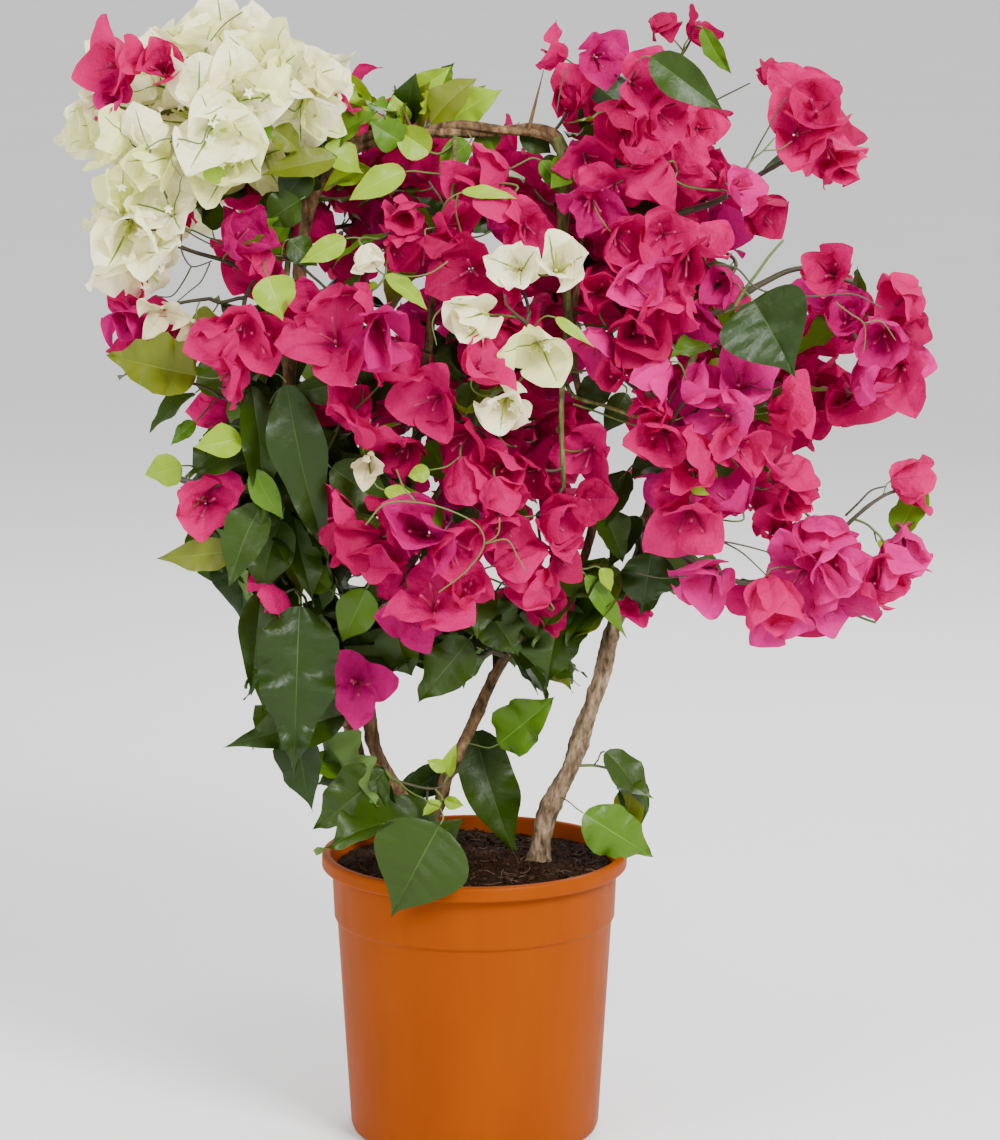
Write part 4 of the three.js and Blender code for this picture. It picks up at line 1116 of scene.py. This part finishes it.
def fillet(profile, most):
    out = [profile[0]]
    for before, at, after in zip(profile, profile[1:], profile[2:]):
        a, p, b = (np.array(v, float) for v in (before, at, after))
        la, lb = np.linalg.norm(a - p), np.linalg.norm(b - p)
        cut = min(most, la * 0.4, lb * 0.4)
        s, e = p + (a - p) / la * cut, p + (b - p) / lb * cut
        for t in (0, 0.25, 0.5, 0.75, 1):
            out.append(tuple((1 - t) ** 2 * s + 2 * (1 - t) * t * p + t**2 * e))
    return out + [profile[-1]]


def lathe(profile, sides, bend=None):
    prof = np.array(profile, float)
    ang = np.arange(sides) / sides * 2 * math.pi
    r, z = prof[:, 0][:, None], prof[:, 1][:, None] * np.ones((1, sides))
    if bend is not None:
        r = r + bend(ang[None, :], z)
    verts = np.stack([r * np.cos(ang), r * np.sin(ang), z], -1)
    k = len(prof)
    flat = verts[1 : k - 1].reshape(-1, 3)
    verts = np.vstack([flat, [[0, 0, prof[0][1]], [0, 0, prof[-1][1]]]])
    rings = k - 2
    i, j = np.meshgrid(np.arange(rings - 1), np.arange(sides), indexing="ij")
    n = (j + 1) % sides
    quads = np.stack([i * sides + j, i * sides + n, (i + 1) * sides + n, (i + 1) * sides + j], -1).reshape(-1, 4)
    j = np.arange(sides)
    tris = np.vstack([np.stack([np.full(sides, rings * sides), (j + 1) % sides, j], -1), np.stack([np.full(sides, rings * sides + 1), (rings - 1) * sides + j, (rings - 1) * sides + (j + 1) % sides], -1)])
    return verts, quads, tris


m, tree, p, out = new_material("pot_plastic")
tree.links.new(ramp(tree, noise(tree, 26, 5.0, 0.6, (1, 1, 0.3)), [(0.3, rgb("803500")), (0.7, rgb("893c00"))]), p.inputs["Base Color"])
tree.links.new(spread_value(tree, noise(tree, 90, 6.0, 0.6, (1, 1, 0.25)), 0.42, 0.55), p.inputs["Roughness"])
p.inputs["Specular IOR Level"].default_value = 0.05
bump(tree, p, noise(tree, 1500, 3.0), 0.1, 0.0003)
pieces["pot"] = Piece("pot_wall", m, "pot")
pieces["pot"].add(*lathe(fillet(POT, 0.8), 192, lambda a, z: 0.06 * np.sin(3 * a + 0.4) + 0.05 * np.sin(5 * a + z / 30)))

# ---- the compost ----------------------------------------------------------------------------------------------------
m, tree, p, out = new_material("compost")
tree.links.new(ramp(tree, noise(tree, 420, 10.0, 0.72), [(0.32, rgb("120804")), (0.7, rgb("402714")), (0.5, rgb("22140a"))]), p.inputs["Base Color"])
tree.links.new(spread_value(tree, noise(tree, 260), 0.78, 0.98), p.inputs["Roughness"])
p.inputs["Specular IOR Level"].default_value = 0.06
bump(tree, p, noise(tree, 900, 10.0, 0.75), 1.0, 0.0012)
soil_material = m
pieces["soil"] = Piece("compost_bed", soil_material, "soil")
own = np.random.default_rng(60)
waves = [(own.uniform(0.04, 0.6), own.uniform(0, 6.3), own.uniform(0, 6.3)) for k in range(34)]


def ground(x, y):
    h = 0
    for f, a, ph in waves:
        h = h + np.sin(f * (x * math.cos(a) + y * math.sin(a)) + ph) * 0.32 / (0.25 + f * 1.6)
    r = np.hypot(x, y)
    return 151.6 + 0.35 * h + 1.6 * np.clip(1 - (r / 62) ** 2, -1, 1)


ring, turns = 50, 180
rr, aa = np.meshgrid(np.linspace(0.4, 76.4, ring), np.arange(turns) / turns * 2 * math.pi, indexing="ij")
x, y = rr * np.cos(aa), rr * np.sin(aa)
z = ground(x, y) + own.normal(0, 0.28, x.shape)
z = np.clip(z, 149.5, 158)
top = np.stack([x, y, z], -1).reshape(-1, 3)
i, j = np.meshgrid(np.arange(ring - 1), np.arange(turns), indexing="ij")
n = (j + 1) % turns
quads = np.stack([i * turns + j, (i + 1) * turns + j, (i + 1) * turns + n, i * turns + n], -1).reshape(-1, 4)
# the bed goes on down inside the pot
low = np.stack([np.array([[math.cos(a) * r0, math.sin(a) * r0, z0] for a in np.arange(turns) / turns * 2 * math.pi]) for r0, z0 in ((75.8, 140), (74.0, 118), (66.4, 6), (30, 3.2))])
verts = np.vstack([top, low.reshape(-1, 3)])
first = ring * turns
extra = []
for k in range(4):
    above = (ring - 1) * turns if k == 0 else first + (k - 1) * turns
    below = first + k * turns
    jj = np.arange(turns)
    nn = (jj + 1) % turns
    extra.append(np.stack([above + jj, below + jj, below + nn, above + nn], -1))
centre_top = np.stack([np.full(turns, len(verts)), np.arange(turns), (np.arange(turns) + 1) % turns], -1)
centre_low = np.stack([np.full(turns, len(verts) + 1), first + 3 * turns + (np.arange(turns) + 1) % turns, first + 3 * turns + np.arange(turns)], -1)
verts = np.vstack([verts, [[0, 0, float(z[0].mean())], [0, 0, 3.2]]])
pieces["soil"].add(verts, np.vstack([quads] + extra), np.vstack([centre_top, centre_low]))

m, tree, p, out = new_material("compost_crumb")
tree.links.new(ramp(tree, noise(tree, 180, 6.0, 0.7), [(0.35, rgb("120a06")), (0.68, rgb("422b1b"))]), p.inputs["Base Color"])
tree.links.new(spread_value(tree, noise(tree, 300), 0.75, 0.98), p.inputs["Roughness"])
p.inputs["Specular IOR Level"].default_value = 0.06
pieces["crumb"] = Piece("compost_crumbs", m, "soil")
g = (1 + 5**0.5) / 2
ico = unit(np.array([(-1, g, 0), (1, g, 0), (-1, -g, 0), (1, -g, 0), (0, -1, g), (0, 1, g), (0, -1, -g), (0, 1, -g), (g, 0, -1), (g, 0, 1), (-g, 0, -1), (-g, 0, 1)], float))
ico_faces = np.array([(0, 11, 5), (0, 5, 1), (0, 1, 7), (0, 7, 10), (0, 10, 11), (1, 5, 9), (5, 11, 4), (11, 10, 2), (10, 7, 6), (7, 1, 8), (3, 9, 4), (3, 4, 2), (3, 2, 6), (3, 6, 8), (3, 8, 9), (4, 9, 5), (2, 4, 11), (6, 2, 10), (8, 6, 7), (9, 8, 1)])
for k in range(1500):
    r, a = 75.5 * math.sqrt(own.random()), own.uniform(0, 2 * math.pi)
    size = 0.45 + 1.5 * own.random() ** 3
    at = np.array([r * math.cos(a), r * math.sin(a), 0.0])
    at[2] = float(ground(at[0], at[1])) + size * 0.3
    spinner = unit(own.normal(size=(3, 3)))
    pieces["crumb"].add(at + (ico * own.uniform(0.6, 1.25, (12, 1)) * (size * own.uniform(0.6, 1.3, 3))) @ spinner, None, ico_faces)
m, tree, p, out = new_material("compost_fibre")
tree.links.new(ramp(tree, noise(tree, 160, 4.0), [(0.35, rgb("2f1f13")), (0.65, rgb("5a4029"))]), p.inputs["Base Color"])
p.inputs["Roughness"].default_value = 0.85
pieces["fibre"] = Piece("compost_fibres", m, "soil")
for k in range(150):
    r, a = 74 * math.sqrt(own.random()), own.uniform(0, 2 * math.pi)
    t = np.linspace(-1, 1, 5)[:, None]
    d = unit(np.array([math.cos(own.uniform(0, 6.3)), math.sin(own.uniform(0, 6.3)), own.normal(0, 0.12)]))
    e = unit(np.array([-d[1], d[0], 0.4]))
    path = np.array([r * math.cos(a), r * math.sin(a), 0]) + d * t * own.uniform(1.5, 5) + e * (t**2) * own.uniform(-1.5, 1.5)
    inside = np.hypot(path[:, 0], path[:, 1]).max() < 75.5
    if inside:
        path[:, 2] = ground(path[:, 0], path[:, 1]) + 0.5 + np.abs(own.normal(0, 0.3, 5))
        pieces["fibre"].add(*tube(path, own.uniform(0.12, 0.3), 4))

# ---- written out, with each piece's name, mesh count, triangles and bounds printed ----------------------------------
for piece in pieces.values():
    piece.build()
    print("PIECE", piece.name, len(piece.objects), sum(sum(len(p.vertices) - 2 for p in o.data.polygons) for o in piece.objects), [[round(1000 * f(v[k] for o in piece.objects for v in o.bound_box)) for k in range(3)] for f in (min, max)])

# drain holes in the floor of the pot
pot = pieces["pot"].objects[0]
cutter = bpy.data.meshes.new("drain_cutter")
cv, cf = [], []
for k in range(8):
    a = k / 8 * 2 * math.pi
    first = len(cv)
    for z in (-0.004, 0.006):
        for i in range(20):
            b = i / 20 * 2 * math.pi
            cv.append((0.054 * math.cos(a) + 0.0042 * math.cos(b), 0.054 * math.sin(a) + 0.0042 * math.sin(b), z))
    cf.append([first + i for i in range(20)][::-1])
    cf.append([first + 20 + i for i in range(20)])
    for i in range(20):
        cf.append([first + i, first + (i + 1) % 20, first + 20 + (i + 1) % 20, first + 20 + i])
cutter.from_pydata(cv, [], cf)
cutter_object = bpy.data.objects.new("drain_cutter", cutter)
bpy.context.scene.collection.objects.link(cutter_object)
cut = pot.modifiers.new("drain", "BOOLEAN")
cut.operation, cut.solver, cut.object = "DIFFERENCE", "EXACT", cutter_object
bpy.context.view_layer.update()
holed = bpy.data.meshes.new_from_object(pot.evaluated_get(bpy.context.evaluated_depsgraph_get()))
pot.modifiers.remove(cut)
pot.data = holed
bpy.data.objects.remove(cutter_object)

for row in frame["record"]["subparts"]:
    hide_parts(row["node"])

# ---- floor, light and camera ----------------------------------------------------------------------------------------
floor_mesh = bpy.data.meshes.new("floor")
floor_mesh.from_pydata([(-40, -20, 0), (40, -20, 0), (40, 70, 0), (-40, 70, 0)], [], [(0, 1, 2, 3)])
floor = bpy.data.objects.new("floor", floor_mesh)
bpy.context.scene.collection.objects.link(floor)
m, tree, p, out = new_material("floor_paint")
tree.links.new(ramp(tree, noise(tree, 3, 2.0), [(0.3, (0.86, 0.86, 0.855, 1)), (0.7, (0.88, 0.88, 0.875, 1))]), p.inputs["Base Color"])
p.inputs["Roughness"].default_value = 0.8
floor_mesh.materials.append(m)

world = bpy.data.worlds.new("studio")
bpy.context.scene.world = world
world.use_nodes = True
world.node_tree.nodes["Background"].inputs["Color"].default_value = (1.0, 1.0, 1.0, 1)
world.node_tree.nodes["Background"].inputs["Strength"].default_value = 1.02


def area(name, at, target, size, power, colour=(1, 1, 1)):
    light = bpy.data.lights.new(name, "AREA")
    light.shape, light.size, light.size_y, light.energy, light.color = "RECTANGLE", size[0], size[1], power, colour
    o = bpy.data.objects.new(name, light)
    bpy.context.scene.collection.objects.link(o)
    from mathutils import Vector
    o.location = at
    o.rotation_euler = (Vector(target) - Vector(at)).to_track_quat("-Z", "Y").to_euler()


area("key", (0.85, -1.3, 1.45), (0, 0, 0.42), (0.7, 0.7), 66)
area("fill", (-1.3, -1.2, 1.1), (-0.1, 0, 0.45), (1.0, 1.0), 21)
area("rim", (0.4, 1.3, 1.5), (0, 0, 0.45), (0.9, 0.9), 22)

camera = bpy.data.cameras.new("camera")
camera.lens, camera.sensor_width, camera.sensor_fit, camera.clip_end = 140.3, 36.0, "AUTO", 50.0
eye = bpy.data.objects.new("camera", camera)
bpy.context.scene.collection.objects.link(eye)
eye.location = (0.0142, -2.4, 0.762)
eye.rotation_euler = (math.radians(90 - 10.5), 0, 0)
bpy.context.scene.camera = eye

bpy.context.view_layer.update()
